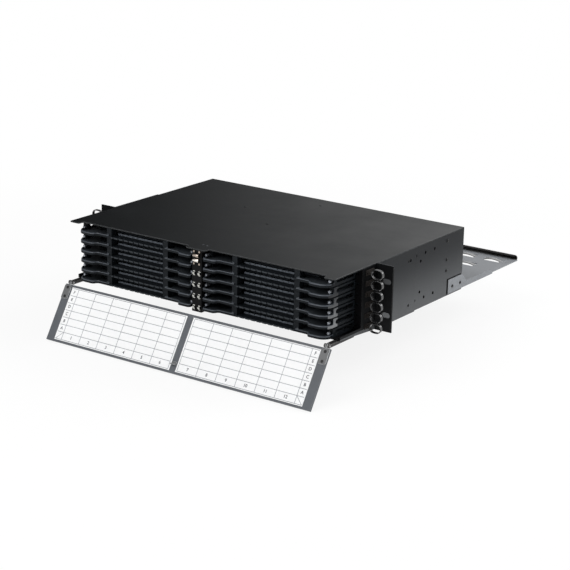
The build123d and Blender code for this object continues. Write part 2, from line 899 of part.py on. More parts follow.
def build_label_card(side):
    """Make one label card that lies in its pocket."""
    with BuildPart() as card:
        with BuildSketch(door_plane.offset(door_face - pocket_depth)):
            with Locations((side * pocket_centre, pocket_top - card_clearance)):
                Rectangle(
                    pocket_width - 2 * card_clearance,
                    pocket_height - 2 * card_clearance,
                    align=(Align.CENTER, Align.MAX),
                )
        extrude(amount=card_thickness)
    return card


def door_screw_places():
    """Give the hinge plate screws on the open door plane."""
    first = -door_offset - hinge_plate_start - door_screw_first
    return [
        (side * hinge_plate_x, first - step * door_screw_pitch)
        for side in (-1, 1)
        for step in (0, 1)
    ]


def build_hinge_plate(side):
    """Make one hinge plate with the tab that turns on the pin."""
    plate_top = -door_offset - hinge_plate_start
    tab_plane = Plane(
        origin=(side * hinge_x, hinge_y, hinge_z), x_dir=door_plane.y_dir, z_dir=(1, 0, 0)
    )
    with BuildPart() as hinge:
        with BuildSketch(door_plane.offset(door_face)):
            with Locations((side * hinge_plate_x, plate_top)):
                Rectangle(hinge_plate_width, hinge_plate_length, align=(Align.CENTER, Align.MAX))
            lower = vertices().group_by(Axis.Z)[0]
            fillet(lower, radius=hinge_plate_corner)
        extrude(amount=hinge_plate)
        with BuildSketch(tab_plane):
            Circle(hinge_knuckle_radius)
            with Locations((0, door_face)):
                Rectangle(
                    door_offset + hinge_plate_start, hinge_plate, align=(Align.MAX, Align.MIN)
                )
            Circle(hinge_pin_radius + hinge_pin_clearance, mode=Mode.SUBTRACT)
        extrude(amount=hinge_tab_width / 2, both=True)
    return hinge


def build_hinge_arm(side):
    """Make one arm that carries the door's pin in front of the pan."""
    arm_top = bottom + pan_ramp_rise
    with BuildPart() as arm:
        with BuildSketch(Plane.YZ.offset(side * hinge_x)):
            with BuildLine():
                Polyline(
                    (hinge_y, hinge_z - hinge_arm_drop),
                    (hinge_arm_rear, hinge_z - hinge_arm_drop),
                    (hinge_arm_rear, bottom + pan_lift(hinge_arm_rear)),
                    (pan_ramp_end, arm_top),
                    (hinge_y, arm_top),
                    close=True,
                )
            make_face()
            with Locations((hinge_y, hinge_z)):
                Circle(hinge_knuckle_radius)
                Circle(hinge_pin_radius, mode=Mode.SUBTRACT)
        extrude(amount=hinge_arm_width / 2, both=True)
        with BuildSketch(Plane.YZ.offset(side * hinge_x)):
            with Locations((hinge_y, hinge_z)):
                Circle(door_offset + hinge_plate_start)
        extrude(amount=hinge_tab_width / 2 + hinge_side_gap, both=True, mode=Mode.SUBTRACT)
    return arm


def build_hinge_pins():
    """Make the two pins that the door turns on."""
    with BuildPart() as pins:
        for side in (-1, 1):
            with BuildSketch(Plane.YZ.offset(side * hinge_x)):
                with Locations((hinge_y, hinge_z)):
                    Circle(hinge_pin_radius)
            extrude(amount=hinge_arm_width / 2, both=True)
    return pins


def build_door_screws():
    """Make the four screws that hold the hinge plates."""
    with BuildPart() as screws:
        with BuildSketch(door_plane.offset(door_face + hinge_plate)):
            with Locations(*door_screw_places()):
                small_round(door_screw_radius)
        extrude(amount=door_screw_head)
    return screws


def build_door_strike():
    """Make the tongue on the centre bar that enters the catch."""
    root = -strike_distance
    with BuildPart() as strike:
        with BuildSketch(door_plane.offset(door_face)):
            with Locations((0, root)):
                Rectangle(strike_width, strike_sheet)
        extrude(amount=strike_length)
        with BuildSketch(door_plane.offset(door_face)):
            with Locations((0, root)):
                Rectangle(strike_width, strike_foot, align=(Align.CENTER, Align.MIN))
        extrude(amount=strike_sheet)
    return strike


# Catch and leaf springs on the front post
def build_door_catch():
    """Make the catch on its two straps, with two round-nosed jaws."""
    jaw_middle = (catch_gap + catch_jaw) / 2
    with BuildPart() as catch:
        with BuildSketch(Plane.XZ.offset(-post_front)):
            with Locations((0, catch_z)):
                Rectangle(catch_width, catch_gap + 2 * catch_jaw)
            with Locations((-spring_offset, catch_z), (spring_offset, catch_z)):
                Rectangle(spring_width, catch_strap_height)
        extrude(amount=catch_plate)
        with BuildSketch(Plane.YZ):
            for sign in (-1, 1):
                jaw_z = catch_z + sign * jaw_middle
                with Locations((post_front - catch_reach / 2, jaw_z)):
                    SlotOverall(catch_reach, catch_jaw)
        extrude(amount=catch_width / 2, both=True)
    return catch


def build_post_springs():
    """Make the pairs of bent leaf springs down the front post."""
    half = spring_height / 2
    crown = half - spring_foot - spring_shoulder
    with BuildPart() as springs:
        for step in range(spring_count):
            middle = spring_lowest_z + step * spring_pitch
            for sign in (-1, 1):
                with BuildSketch(Plane.YZ.offset(sign * spring_offset)):
                    with BuildLine():
                        outer = Polyline(
                            (post_front, middle - half),
                            (post_front - spring_sheet, middle - half),
                            (post_front - spring_sheet, middle - half + spring_foot),
                            (post_front - spring_rise, middle - crown),
                            (post_front - spring_rise, middle + crown),
                            (post_front - spring_sheet, middle + half - spring_foot),
                            (post_front - spring_sheet, middle + half),
                            (post_front, middle + half),
                        )
                        Polyline(
                            outer @ 1,
                            (post_front, middle + half - spring_foot),
                            (post_front - spring_rise + spring_sheet, middle + crown),
                            (post_front - spring_rise + spring_sheet, middle - crown),
                            (post_front, middle - half + spring_foot),
                            outer @ 0,
                        )
                    make_face()
                extrude(amount=spring_width / 2, both=True)
    return springs


# Fasteners of the case, grouped in one piece file
def build_case_screws():
    """Make the cover rivets, the bracket screws and the screws and rivets of the side walls."""
    with BuildPart() as screws:
        with BuildSketch(Plane.XY.offset(top)):
            with Locations(*cover_rivet_places()):
                small_round(cover_rivet_radius)
        extrude(amount=cover_rivet_head)
        for side in (-1, 1):
            with BuildSketch(Plane.YZ.offset(side * half_body)):
                for screw_z in bracket_screw_zs:
                    with Locations((bracket_screw_y, screw_z)):
                        small_round(bracket_screw_radius)
            extrude(amount=side * ear_sheet)
            with BuildSketch(Plane.YZ.offset(side * half_body)):
                for screw_y in slack_screw_ys:
                    with Locations((screw_y, slack_floor + slack_screw_height)):
                        small_round(screw_radius)
                with Locations((side_rivet_y, top - cover_screw_drop)):
                    small_round(screw_radius)
                with Locations((side_rivet_y, side_rivet_z), (side_rivet_y, -side_rivet_z)):
                    small_round(bracket_screw_radius)
            extrude(amount=side * screw_head)
    return screws


os.makedirs("parts", exist_ok=True)
keep(build_chassis_base(), "chassis_base")
keep(build_top_cover(), "top_cover")
keep(build_slack_plate(), "slack_plate")
keep(build_centre_divider(), "centre_divider")
keep(build_door_frame(), "door_frame")
keep(build_door_screws(), "door_screws")
keep(build_door_strike(), "door_strike")
keep(build_door_catch(), "door_catch")
keep(build_post_springs(), "post_springs")
keep(build_hinge_pins(), "hinge_pins")
keep(build_case_screws(), "case_screws")
for each_side in (-1, 1):
    word = side_name(each_side)
    keep(build_rack_bracket(each_side), f"rack_bracket_{word}")
    keep(build_side_guide(each_side), f"side_guide_{word}")
    keep(build_centre_guide(each_side), f"centre_guide_{word}")
    keep(build_label_card(each_side), f"label_card_{word}")
    keep(build_hinge_plate(each_side), f"hinge_plate_{word}")
    keep(build_hinge_arm(each_side), f"hinge_arm_{word}")
    for each_row in range(1, tray_rows + 1):
        keep(build_tray(each_side, each_row), f"tray_{word}_{each_row}")
        keep(build_tray_knobs(each_side, each_row), f"tray_knobs_{word}_{each_row}")
        keep(build_cable_ring(each_side, each_row), f"cable_ring_{word}_{each_row}")
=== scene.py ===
import json
import logging
import math
from dataclasses import dataclass, field
from enum import Enum

import bmesh
import bpy
from mathutils import Matrix, Vector

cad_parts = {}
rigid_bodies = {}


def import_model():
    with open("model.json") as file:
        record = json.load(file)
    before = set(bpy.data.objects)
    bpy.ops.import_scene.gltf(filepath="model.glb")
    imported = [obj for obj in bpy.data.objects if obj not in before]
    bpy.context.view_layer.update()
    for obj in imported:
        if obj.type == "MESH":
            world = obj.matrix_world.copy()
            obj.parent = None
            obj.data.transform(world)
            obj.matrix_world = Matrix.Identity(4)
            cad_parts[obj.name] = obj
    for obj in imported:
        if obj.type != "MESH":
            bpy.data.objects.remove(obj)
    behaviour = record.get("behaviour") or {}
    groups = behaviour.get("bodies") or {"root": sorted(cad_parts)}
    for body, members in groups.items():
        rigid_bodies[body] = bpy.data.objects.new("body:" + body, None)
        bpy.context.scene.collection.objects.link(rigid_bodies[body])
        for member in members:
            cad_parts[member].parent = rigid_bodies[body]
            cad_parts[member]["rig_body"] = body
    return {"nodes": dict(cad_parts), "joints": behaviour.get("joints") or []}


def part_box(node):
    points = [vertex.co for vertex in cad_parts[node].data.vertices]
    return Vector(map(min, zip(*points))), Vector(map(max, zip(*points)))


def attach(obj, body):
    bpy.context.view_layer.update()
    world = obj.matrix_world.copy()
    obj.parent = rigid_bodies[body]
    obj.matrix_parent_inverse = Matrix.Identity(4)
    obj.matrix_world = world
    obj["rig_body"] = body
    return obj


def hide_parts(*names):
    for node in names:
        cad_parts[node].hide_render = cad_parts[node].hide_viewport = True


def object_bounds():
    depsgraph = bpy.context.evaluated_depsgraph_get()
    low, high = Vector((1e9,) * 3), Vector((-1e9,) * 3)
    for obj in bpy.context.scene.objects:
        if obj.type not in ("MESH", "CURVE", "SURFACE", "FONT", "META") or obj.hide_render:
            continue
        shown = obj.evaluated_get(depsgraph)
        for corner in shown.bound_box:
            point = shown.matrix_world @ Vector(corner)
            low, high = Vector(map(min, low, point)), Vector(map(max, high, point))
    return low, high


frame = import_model()
CAD_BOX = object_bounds()
LOG = logging.getLogger("patch_panel")

MM = 0.001
MERGE_REACH = 0.002 * MM
CUT_REACH = 0.001 * MM
FLAT_LIMIT = 1.0
FACING_LIMIT = 0.7
SHEET_ANGLE = 40.0
FORMED_ANGLE = 50.0
BEVEL_STEPS = 2
ROUND_PROFILE = 0.5
GRAIN_DEPTH = 0.05 * MM
SPECK_TINT = (0.35, 0.35, 0.34, 1.0)
# Painted light: the lighter tone mixed in towards a finish's lower end.
PAINTED_LIGHT_TINT = (0.3, 0.31, 0.32, 1.0)
WHITE = (1.0, 1.0, 1.0, 1.0)
BLACK = (0.0, 0.0, 0.0, 1.0)
ANYWHERE = (-math.inf, math.inf)
UPWARD = (0.0, 0.0, 1.0)
FORWARD = (0.0, -1.0, 0.0)

Pair = tuple[float, float]
Triple = tuple[float, float, float]
Corners = tuple[Vector, Vector]
Piece = bpy.types.Object
Shape = bmesh.types.BMesh
Ring = list[bmesh.types.BMVert]
Node = bpy.types.Node
Socket = bpy.types.NodeSocket


class Side(Enum):
    """The two halves of the panel, seen from the front."""

    LEFT = -1
    RIGHT = 1

    @property
    def word(self) -> str:
        """The side's name as the CAD nodes write it."""
        return self.name.lower()


class Slot(Enum):
    """The record's material slots."""

    CASE = "case_black"
    SLACK = "slack_grey"
    GUIDE = "guide_plastic"
    TRAY = "tray_plastic"
    KNOB = "knob_grey"
    RING = "ring_plastic"
    HINGE_ARM = "hinge_dark"
    HINGE_PLATE = "hinge_light"
    CARD = "card_white"
    PIN = "pin_steel"
    DOOR = "door_grey"
    SCREW = "screw_black"
    CATCH = "catch_nickel"


class Grid:
    """Adds nodes to one tree and links them by socket name."""

    def __init__(self, tree: bpy.types.NodeTree) -> None:
        """Keep the tree.

        Args:
            tree: The shader or geometry tree to fill.
        """
        self.tree = tree

    def add(
        self, kind: str, inputs: dict[str | int, object] | None = None, **settings: object
    ) -> Node:
        """Add one node.

        Args:
            kind: The node's type name.
            inputs: A socket to link or a value to set, by the input's name or place.
            **settings: Attributes to set on the node.

        Returns:
            The new node.
        """
        node = self.tree.nodes.new(kind)
        for name, value in settings.items():
            setattr(node, name, value)
        for place, value in (inputs or {}).items():
            if isinstance(value, Socket):
                self.tree.links.new(value, node.inputs[place])
            else:
                node.inputs[place].default_value = value
        return node

    def math(self, operation: str, first: object, second: object) -> Socket:
        """Add one Math node.

        Args:
            operation: The node's operation.
            first: A socket or a number.
            second: A socket or a number.

        Returns:
            The node's output socket.
        """
        return self.add("ShaderNodeMath", {0: first, 1: second}, operation=operation).outputs[0]

    def ramp(
        self, value: Socket, start: object, end: object, ends: Pair = (0.0, 1.0), soft: bool = False
    ) -> Socket:
        """Add one Map Range node.

        Args:
            value: The socket to map.
            start: The value that gives the first end, a socket or a number.
            end: The value that gives the second end, a socket or a number.
            ends: What the node puts out at start and at end.
            soft: True for a soft start and end.

        Returns:
            The node's output socket.
        """
        inputs = {"Value": value, "From Min": start, "From Max": end}
        inputs.update({"To Min": ends[0], "To Max": ends[1]})
        style = "SMOOTHSTEP" if soft else "LINEAR"
        return self.add("ShaderNodeMapRange", inputs, interpolation_type=style).outputs["Result"]

    def mix(self, kind: str, share: Socket, below: object, above: object) -> Socket:
        """Add one Mix node.

        Args:
            kind: The node's data type.
            share: How much of the second value shows.
            below: The first value, a socket or a number or colour.
            above: The second value, a socket or a number or colour.

        Returns:
            The node's output socket.
        """
        inputs = {"Factor": share, "A": below, "B": above}
        return self.add("ShaderNodeMix", inputs, data_type=kind).outputs["Result"]

    def noise(self, place: Socket, scale: object, detail: float, roughness: float = 0.5) -> Socket:
        """Add one Noise Texture node.

        Args:
            place: The coordinates.
            scale: A socket or a number.
            detail: How many finer layers are added.
            roughness: How strong the finer layers are.

        Returns:
            The node's factor socket.
        """
        inputs = {"Vector": place, "Scale": scale, "Detail": detail, "Roughness": roughness}
        return self.add("ShaderNodeTexNoise", inputs).outputs["Fac"]


def blank(owner: bpy.types.Material | bpy.types.World) -> Grid:
    """Give a material or a world an empty tree.

    Args:
        owner: The material or the world.

    Returns:
        The tree's builder.
    """
    owner.use_nodes = True
    owner.node_tree.nodes.clear()
    return Grid(owner.node_tree)


def declare(
    tree: bpy.types.NodeTree, name: str, kind: str, default: object = None, out: bool = False
) -> bpy.types.NodeTreeInterfaceSocket:
    """Declare one named socket of a node group.

    Args:
        tree: The node group.
        name: The socket's name.
        kind: The socket's short type, such as Float.
        default: The socket's default value.
        out: True for an output.

    Returns:
        The interface socket.
    """
    way = "OUTPUT" if out else "INPUT"
    socket = tree.interface.new_socket(name=name, in_out=way, socket_type=f"NodeSocket{kind}")
    if default is not None:
        socket.default_value = default
    return socket


class SurfaceEffects:
    """The shader node groups that the finishes share."""

    GRAIN_SOFTNESS = 0.6
    GRAIN_DETAIL = 3.0
    GRAIN_FINE_SHARE = 0.5
    MOTTLE_ENDS = (0.3, 0.7)
    MOTTLE_DETAIL = 5.0
    MOTTLE_ROUGH = 0.6
    SPECK_ENDS = (0.62, 0.8)
    SPECK_DETAIL = 2.0
    PATCH_SCALE = 30.0
    PATCH_DETAIL = 4.0
    PATCH_SHARE = 0.3
    PATCH_BASE = 0.85

    def __init__(self) -> None:
        """Build each group once."""
        self.grain = self._grain()
        self.mottle = self._mottle()
        self.dust = self._dust()
        # Painted light towards a finish's lower end.
        self.settled = self._settled()

    def _start(
        self, name: str, inputs: tuple[tuple[str, str, object], ...], **outputs: str
    ) -> tuple[Grid, Node]:
        """Start a shader group with a Vector input.

        Args:
            name: The group's name.
            inputs: Name, short type and default of each further input.
            **outputs: Short type of each output, by name.

        Returns:
            The group's builder and its input node.
        """
        tree = bpy.data.node_groups.new(name, "ShaderNodeTree")
        for label, kind, default in (("Vector", "Vector", None), *inputs):
            declare(tree, label, kind, default)
        for label, kind in outputs.items():
            declare(tree, label, kind, out=True)
        grid = Grid(tree)
        return grid, grid.add("NodeGroupInput")

    def _grain(self) -> bpy.types.NodeTree:
        """Make the fine pebble of powder coat and moulded plastic.

        Returns:
            A group with inputs Vector and Scale and output Height.
        """
        grid, entry = self._start("surface_grain", (("Scale", "Float", 900.0),), Height="Float")
        place = {label: entry.outputs[label] for label in ("Vector", "Scale")}
        inputs = {**place, "Smoothness": self.GRAIN_SOFTNESS}
        cells = grid.add("ShaderNodeTexVoronoi", inputs, feature="SMOOTH_F1")
        noise = grid.noise(place["Vector"], place["Scale"], self.GRAIN_DETAIL)
        fine = grid.math("MULTIPLY", noise, self.GRAIN_FINE_SHARE)
        grid.add("NodeGroupOutput", {"Height": grid.math("ADD", cells.outputs["Distance"], fine)})
        return grid.tree

    def _mottle(self) -> bpy.types.NodeTree:
        """Make the slow drift of tone and gloss over a sprayed or moulded face.

        Returns:
            A group with inputs Vector, Scale, Dark, Light, Smooth and Rough, and outputs Colour
            and Roughness.
        """
        inputs = (
            ("Scale", "Float", 12.0),
            ("Dark", "Color", BLACK),
            ("Light", "Color", WHITE),
            ("Smooth", "Float", 0.4),
            ("Rough", "Float", 0.5),
        )
        grid, entry = self._start("soft_mottle", inputs, Colour="Color", Roughness="Float")
        given = entry.outputs
        noise = grid.noise(given["Vector"], given["Scale"], self.MOTTLE_DETAIL, self.MOTTLE_ROUGH)
        spread = grid.ramp(noise, *self.MOTTLE_ENDS)
        tone = grid.mix("RGBA", spread, given["Dark"], given["Light"])
        gloss = grid.mix("FLOAT", spread, given["Smooth"], given["Rough"])
        grid.add("NodeGroupOutput", {"Colour": tone, "Roughness": gloss})
        return grid.tree

    def _dust(self) -> bpy.types.NodeTree:
        """Make a sparse mask of specks.

        Returns:
            A group with inputs Vector, Scale and Cover and output Mask.
        """
        inputs = (("Scale", "Float", 260.0), ("Cover", "Float", 0.1))
        grid, entry = self._start("fine_dust", inputs, Mask="Float")
        given = entry.outputs
        noise = grid.noise(given["Vector"], given["Scale"], self.SPECK_DETAIL)
        level = grid.ramp(noise, *self.SPECK_ENDS)
        grid.add("NodeGroupOutput", {"Mask": grid.math("MULTIPLY", level, given["Cover"])})
        return grid.tree

    def _settled(self) -> bpy.types.NodeTree:
        """Make the mask of painted light that grows from one height down to another, a lighter tone
        towards the bottom.

        Returns:
            A group with inputs Vector, High, Low and Cover and output Mask.
        """
        inputs = (("High", "Float", 0.04), ("Low", "Float", -0.04), ("Cover", "Float", 0.5))
        grid, entry = self._start("settled_dust", inputs, Mask="Float")
        given = entry.outputs
        parts = grid.add("ShaderNodeSeparateXYZ", {"Vector": given["Vector"]})
        fall = grid.ramp(parts.outputs["Z"], given["High"], given["Low"], soft=True)
        noise = grid.noise(given["Vector"], self.PATCH_SCALE, self.PATCH_DETAIL)
        part = grid.math("MULTIPLY", noise, self.PATCH_SHARE)
        patchy = grid.math("ADD", part, self.PATCH_BASE)
        cover = grid.math("MULTIPLY", fall, given["Cover"])
        grid.add("NodeGroupOutput", {"Mask": grid.math("MULTIPLY", cover, patchy)})
        return grid.tree


EFFECTS = SurfaceEffects()
FINISHED: dict[str, bpy.types.Material] = {}


@dataclass(frozen=True)
class Finish:
    """A surface with mottled colour and gloss, a fine grain, a little dust and, where set, painted
    light towards its lower end.

    Attributes:
        name: The material's name.
        colour: Linear base colour.
        roughness: Mean roughness.
        metallic: 1 for bare metal.
        specular: The shader's specular level.
        glint: Tint of the shader's reflection.
        spread: How far the colour drifts, as a share.
        gloss_drift: How far the roughness drifts either way.
        mottle_scale: Patches per metre.
        grain_scale: Grain cells per metre.
        grain_strength: Strength of the grain's bump.
        grain_stretch: How much longer the grain is along X, as in brushed metal.
        dust: How much the specks cover.
        settled: How much painted light lightens the finish towards its lower end.
        settled_heights: The heights where the painted light starts and where it is strongest.
    """

    name: str
    colour: Triple
    roughness: float
    metallic: float = 0.0
    specular: float = 0.5
    glint: Triple = (1.0, 1.0, 1.0)
    spread: float = 0.12
    gloss_drift: float = 0.04
    mottle_scale: float = 14.0
    grain_scale: float = 1400.0
    grain_strength: float = 0.12
    grain_stretch: float = 1.0
    dust: float = 0.0
    settled: float = 0.0
    settled_heights: Pair = (0.04, -0.045)

    def tone(self, share: float) -> tuple[float, float, float, float]:
        """Give the base colour made lighter or darker by a share."""
        red, green, blue = (min(1.0, part * (1.0 + share)) for part in self.colour)
        return red, green, blue, 1.0

    def material(self) -> bpy.types.Material:
        """Build the material, or give the one built before.

        Returns:
            The Blender material.
        """
        if self.name in FINISHED:
            return FINISHED[self.name]
        made = bpy.data.materials.new(self.name)
        FINISHED[self.name] = made
        grid = blank(made)
        place = grid.add("ShaderNodeTexCoord").outputs["Object"]
        drift = {
            "Vector": place,
            "Scale": self.mottle_scale,
            "Dark": self.tone(-self.spread),
            "Light": self.tone(self.spread),
            "Smooth": self.roughness - self.gloss_drift,
            "Rough": self.roughness + self.gloss_drift,
        }
        mottle = grid.add("ShaderNodeGroup", drift, node_tree=EFFECTS.mottle)
        looks = {
            "Base Color": self._dusted(grid, place, mottle.outputs["Colour"]),
            "Roughness": mottle.outputs["Roughness"],
            "Metallic": self.metallic,
            "Specular IOR Level": self.specular,
            "Specular Tint": (*self.glint, 1.0),
            "Normal": self._grain(grid, place),
        }
        shader = grid.add("ShaderNodeBsdfPrincipled", looks)
        grid.add("ShaderNodeOutputMaterial", {"Surface": shader.outputs["BSDF"]})
        return made

    def _dusted(self, grid: Grid, place: Socket, colour: Socket) -> Socket:
        """Lay specks of dust and painted light over a colour, where the finish has them.

        Args:
            grid: The material's builder.
            place: The object's own coordinates.
            colour: The colour below.

        Returns:
            The colour with its dust and painted light.
        """
        if self.dust > 0.0:
            values = {"Vector": place, "Cover": self.dust}
            specks = grid.add("ShaderNodeGroup", values, node_tree=EFFECTS.dust)
            colour = grid.mix("RGBA", specks.outputs["Mask"], colour, SPECK_TINT)
        # Painted light: a lighter tone towards the finish's lower end.
        if self.settled > 0.0:
            high, low = self.settled_heights
            values = {"Vector": place, "High": high, "Low": low, "Cover": self.settled}
            painted_light_mask = grid.add("ShaderNodeGroup", values, node_tree=EFFECTS.settled)
            colour = grid.mix("RGBA", painted_light_mask.outputs["Mask"], colour, PAINTED_LIGHT_TINT)
        return colour

    def _grain(self, grid: Grid, place: Socket) -> Socket:
        """Give the normal of the finish's grain.

        Args:
            grid: The material's builder.
            place: The object's own coordinates.

        Returns:
            The bumped normal.
        """
        stretch = {"Vector": place, "Scale": (1.0 / self.grain_stretch, 1.0, 1.0)}
        turn = grid.add("ShaderNodeMapping", stretch)
        values = {"Vector": turn.outputs["Vector"], "Scale": self.grain_scale}
        grain = grid.add("ShaderNodeGroup", values, node_tree=EFFECTS.grain)
        relief = {"Strength": self.grain_strength, "Distance": GRAIN_DEPTH}
        bump = grid.add("ShaderNodeBump", {**relief, "Height": grain.outputs["Height"]})
        return bump.outputs["Normal"]


COVER_COAT = Finish(
    "cover_powder_coat",
    (0.0045, 0.0053, 0.006),
    0.36,
    specular=0.2,
    glint=(0.93, 0.99, 1.0),
    dust=0.008,
)
# Painted light: a lit copy of the case's black coat for the walls, pan and brackets, lighter than
# the cover and lighter still towards the bottom.
LIT_WALL_COAT = Finish(
    "wall_powder_coat",
    (0.02, 0.0215, 0.0235),
    0.5,
    specular=0.08,
    dust=0.02,
    settled=0.3,
    settled_heights=(0.034, -0.05),
)
# Painted shade: a darker copy of the black coat for the ears and the wall's front strip.
SHADED_EAR_COAT = Finish("ear_powder_coat", (0.005, 0.0052, 0.0056), 0.5, specular=0.03, settled=0.04)
# Painted highlight: a lighter copy of the black coat on broken edges.
COAT_EDGE_HIGHLIGHT = Finish("powder_coat_edge", (0.07, 0.073, 0.077), 0.42, specular=0.3)
# Painted shade: a darker copy of the black coat for the case's inside faces and the dark gaps round
# the slack plate's tabs.
INNER_SHADE_COAT = Finish("inner_powder_coat", (0.004, 0.004, 0.0045), 0.55, specular=0.05)
SLACK_COAT = Finish("slack_plate_coat", (0.22, 0.23, 0.245), 0.45, specular=0.2, dust=0.04)
# Painted highlight on the slack plate's broken edges.
SLACK_EDGE_HIGHLIGHT = Finish("slack_plate_edge", (0.4, 0.41, 0.425), 0.36)
# Painted highlight: a lighter copy of the slack plate's grey for the tie bridges' tops.
BRIDGE_TOP_HIGHLIGHT = Finish("tie_bridge_worn", (0.27, 0.272, 0.275), 0.4)
# Dark finish of the slack plate's rear lip, also painted on the tabs' sheet edges as shade.
DARK_LIP_AND_EDGE_SHADE = Finish("slack_lip_black", (0.016, 0.0155, 0.015), 0.45, specular=0.25)
TRAY_PLASTIC = Finish(
    "tray_moulding",
    (0.0078, 0.0098, 0.012),
    0.45,
    specular=0.1,
    grain_scale=2400.0,
    grain_strength=0.2,
)
# Painted highlight on the trays' broken edges.
TRAY_EDGE_HIGHLIGHT = Finish("tray_lip_edge", (0.03, 0.036, 0.045), 0.34, specular=0.3)
# Painted highlight: a lighter copy of the tray plastic for the lips' tops and rounded front edges.
TRAY_LIP_HIGHLIGHT = Finish("tray_lip_top", (0.058, 0.067, 0.08), 0.36, specular=0.4)
# Painted highlight: a much lighter copy of the tray plastic for the comb teeth.
TRAY_COMB_HIGHLIGHT = Finish("tray_comb_rubbed", (0.2, 0.226, 0.262), 0.4, specular=0.3)
# Painted light: a lighter copy of the tray plastic for the floor beside the pillars and the front
# edge between them.
TRAY_FLOOR_LIGHT = Finish("tray_floor_rubbed", (0.034, 0.039, 0.045), 0.5, specular=0.15)
# Painted light: a lit copy of the tray plastic for the side plates of the middle rows, lighter
# still in the lower rows.
LIT_TRAY_PLATE = Finish(
    "tray_side_plate",
    (0.02, 0.0215, 0.024),
    0.42,
    specular=0.2,
    settled=0.75,
    settled_heights=(0.024, -0.03),
)
GUIDE_PLASTIC = Finish("guide_moulding", (0.003, 0.003, 0.0035), 0.55, specular=0.05)
POST_COAT = Finish("post_powder_coat", (0.0035, 0.0035, 0.004), 0.5, specular=0.1)
KNOB_BARREL = Finish("knob_barrel", (0.075, 0.081, 0.092), 0.3, specular=0.4)
# The knob's grey, lightened on the front face as a painted highlight; the barrel is painted darker.
KNOB_FACE_AND_HIGHLIGHT = Finish("knob_plastic", (0.42, 0.45, 0.5), 0.26, specular=0.6, grain_strength=0.05)
RING_PLASTIC = Finish("ring_moulding", (0.01, 0.01, 0.011), 0.2, specular=1.0, grain_strength=0.04)
RING_FOOT = Finish("ring_foot_plastic", (0.017, 0.0145, 0.013), 0.5, specular=0.15)
ARM_STEEL = Finish("hinge_arm_steel", (0.02, 0.0195, 0.019), 0.4, specular=0.3)
# Painted highlight: bright steel on the hinge arms' broken edges.
ARM_EDGE_HIGHLIGHT = Finish("hinge_arm_edge", (0.25, 0.245, 0.24), 0.3, metallic=1.0)
PLATE_STEEL = Finish("hinge_plate_steel", (0.12, 0.123, 0.126), 0.34, specular=0.4)
# Painted highlight on the hinge plates' and tongue's broken edges.
PLATE_EDGE_HIGHLIGHT = Finish("hinge_plate_edge", (0.5, 0.51, 0.52), 0.3, metallic=1.0)
DOOR_COAT = Finish("door_coat", (0.095, 0.103, 0.115), 0.42, specular=0.3, dust=0.02)
# Painted highlight on the door's broken edges.
DOOR_EDGE_HIGHLIGHT = Finish("door_edge", (0.14, 0.149, 0.162), 0.35)
CARD_PAPER = Finish(
    "card_paper", (0.95, 0.955, 0.96), 0.6, specular=0.2, spread=0.01, grain_scale=3000.0
)
PRINT_GREY = Finish("table_print", (0.3, 0.315, 0.34), 0.6, specular=0.2)
PRINT_DARK = Finish("index_print", (0.06, 0.065, 0.075), 0.6, specular=0.2)
PIN_STEEL = Finish("pin_bright_steel", (0.45, 0.45, 0.46), 0.28, metallic=1.0, grain_stretch=12.0)
SCREW_OXIDE = Finish("screw_oxide", (0.008, 0.008, 0.008), 0.35, specular=0.3)
RIVET_ZINC = Finish("rivet_zinc", (0.04, 0.044, 0.05), 0.34, specular=0.35)
NICKEL = Finish("warm_nickel", (0.42, 0.36, 0.31), 0.3, metallic=1.0, grain_stretch=10.0)
# Painted highlight: a lighter copy of the nickel for the catch's lower jaw.
NICKEL_HIGHLIGHT = Finish("warm_nickel_edge", (0.85, 0.8, 0.74), 0.2, metallic=1.0)
SPRING_STEEL = Finish("spring_steel", (0.5, 0.5, 0.47), 0.24, metallic=1.0, grain_stretch=10.0)
# Painted highlight on the springs' broken edges.
SPRING_EDGE_HIGHLIGHT = Finish("spring_steel_edge", (0.85, 0.85, 0.82), 0.2, metallic=1.0)


@dataclass(frozen=True)
class Edge:
    """How a piece's edges are broken.

    Attributes:
        width: Bevel width in metres.
        finish: The finish of the broken edge; where it is lighter than the piece's own, it is a
            painted highlight.
    """

    width: float
    finish: Finish


@dataclass(frozen=True)
class Region:
    """A box in the frame, with the way that its faces look.

    Attributes:
        across: Its ends in x, in either order.
        back: Its ends in y.
        up: Its ends in z.
        facing: A direction that the faces look along, or None for all faces.
    """

    across: Pair = ANYWHERE
    back: Pair = ANYWHERE
    up: Pair = ANYWHERE
    facing: Triple | None = None

    def holds(self, centre: Vector, normal: Vector) -> bool:
        """Say whether a face belongs to the region.

        Args:
            centre: The face's centre.
            normal: The face's normal.

        Returns:
            True for a face inside that looks the right way.
        """
        spans = zip(centre, (self.across, self.back, self.up))
        within = all(min(span) <= part <= max(span) for part, span in spans)
        return within and (
            self.facing is None or normal.dot(Vector(self.facing)) > FACING_LIMIT
        )


def body_of_node(node: str) -> str:
    """Give the CAD body that a node rides on."""
    return frame["nodes"][node]["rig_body"]


def cad_points(node: str) -> list[Vector]:
    """Give the points of a CAD node's mesh, in the frame."""
    return [vertex.co.copy() for vertex in frame["nodes"][node].data.vertices]


def corners(points: list[Vector]) -> Corners:
    """Measure a set of points.

    Args:
        points: The points.

    Returns:
        Their lowest and highest corner.
    """
    low = Vector(min(point[axis] for point in points) for axis in range(3))
    high = Vector(max(point[axis] for point in points) for axis in range(3))
    return low, high


def centred(size: float, middle: float = 0.0) -> Pair:
    """Give the two ends of a length about its middle."""
    return middle - size / 2.0, middle + size / 2.0


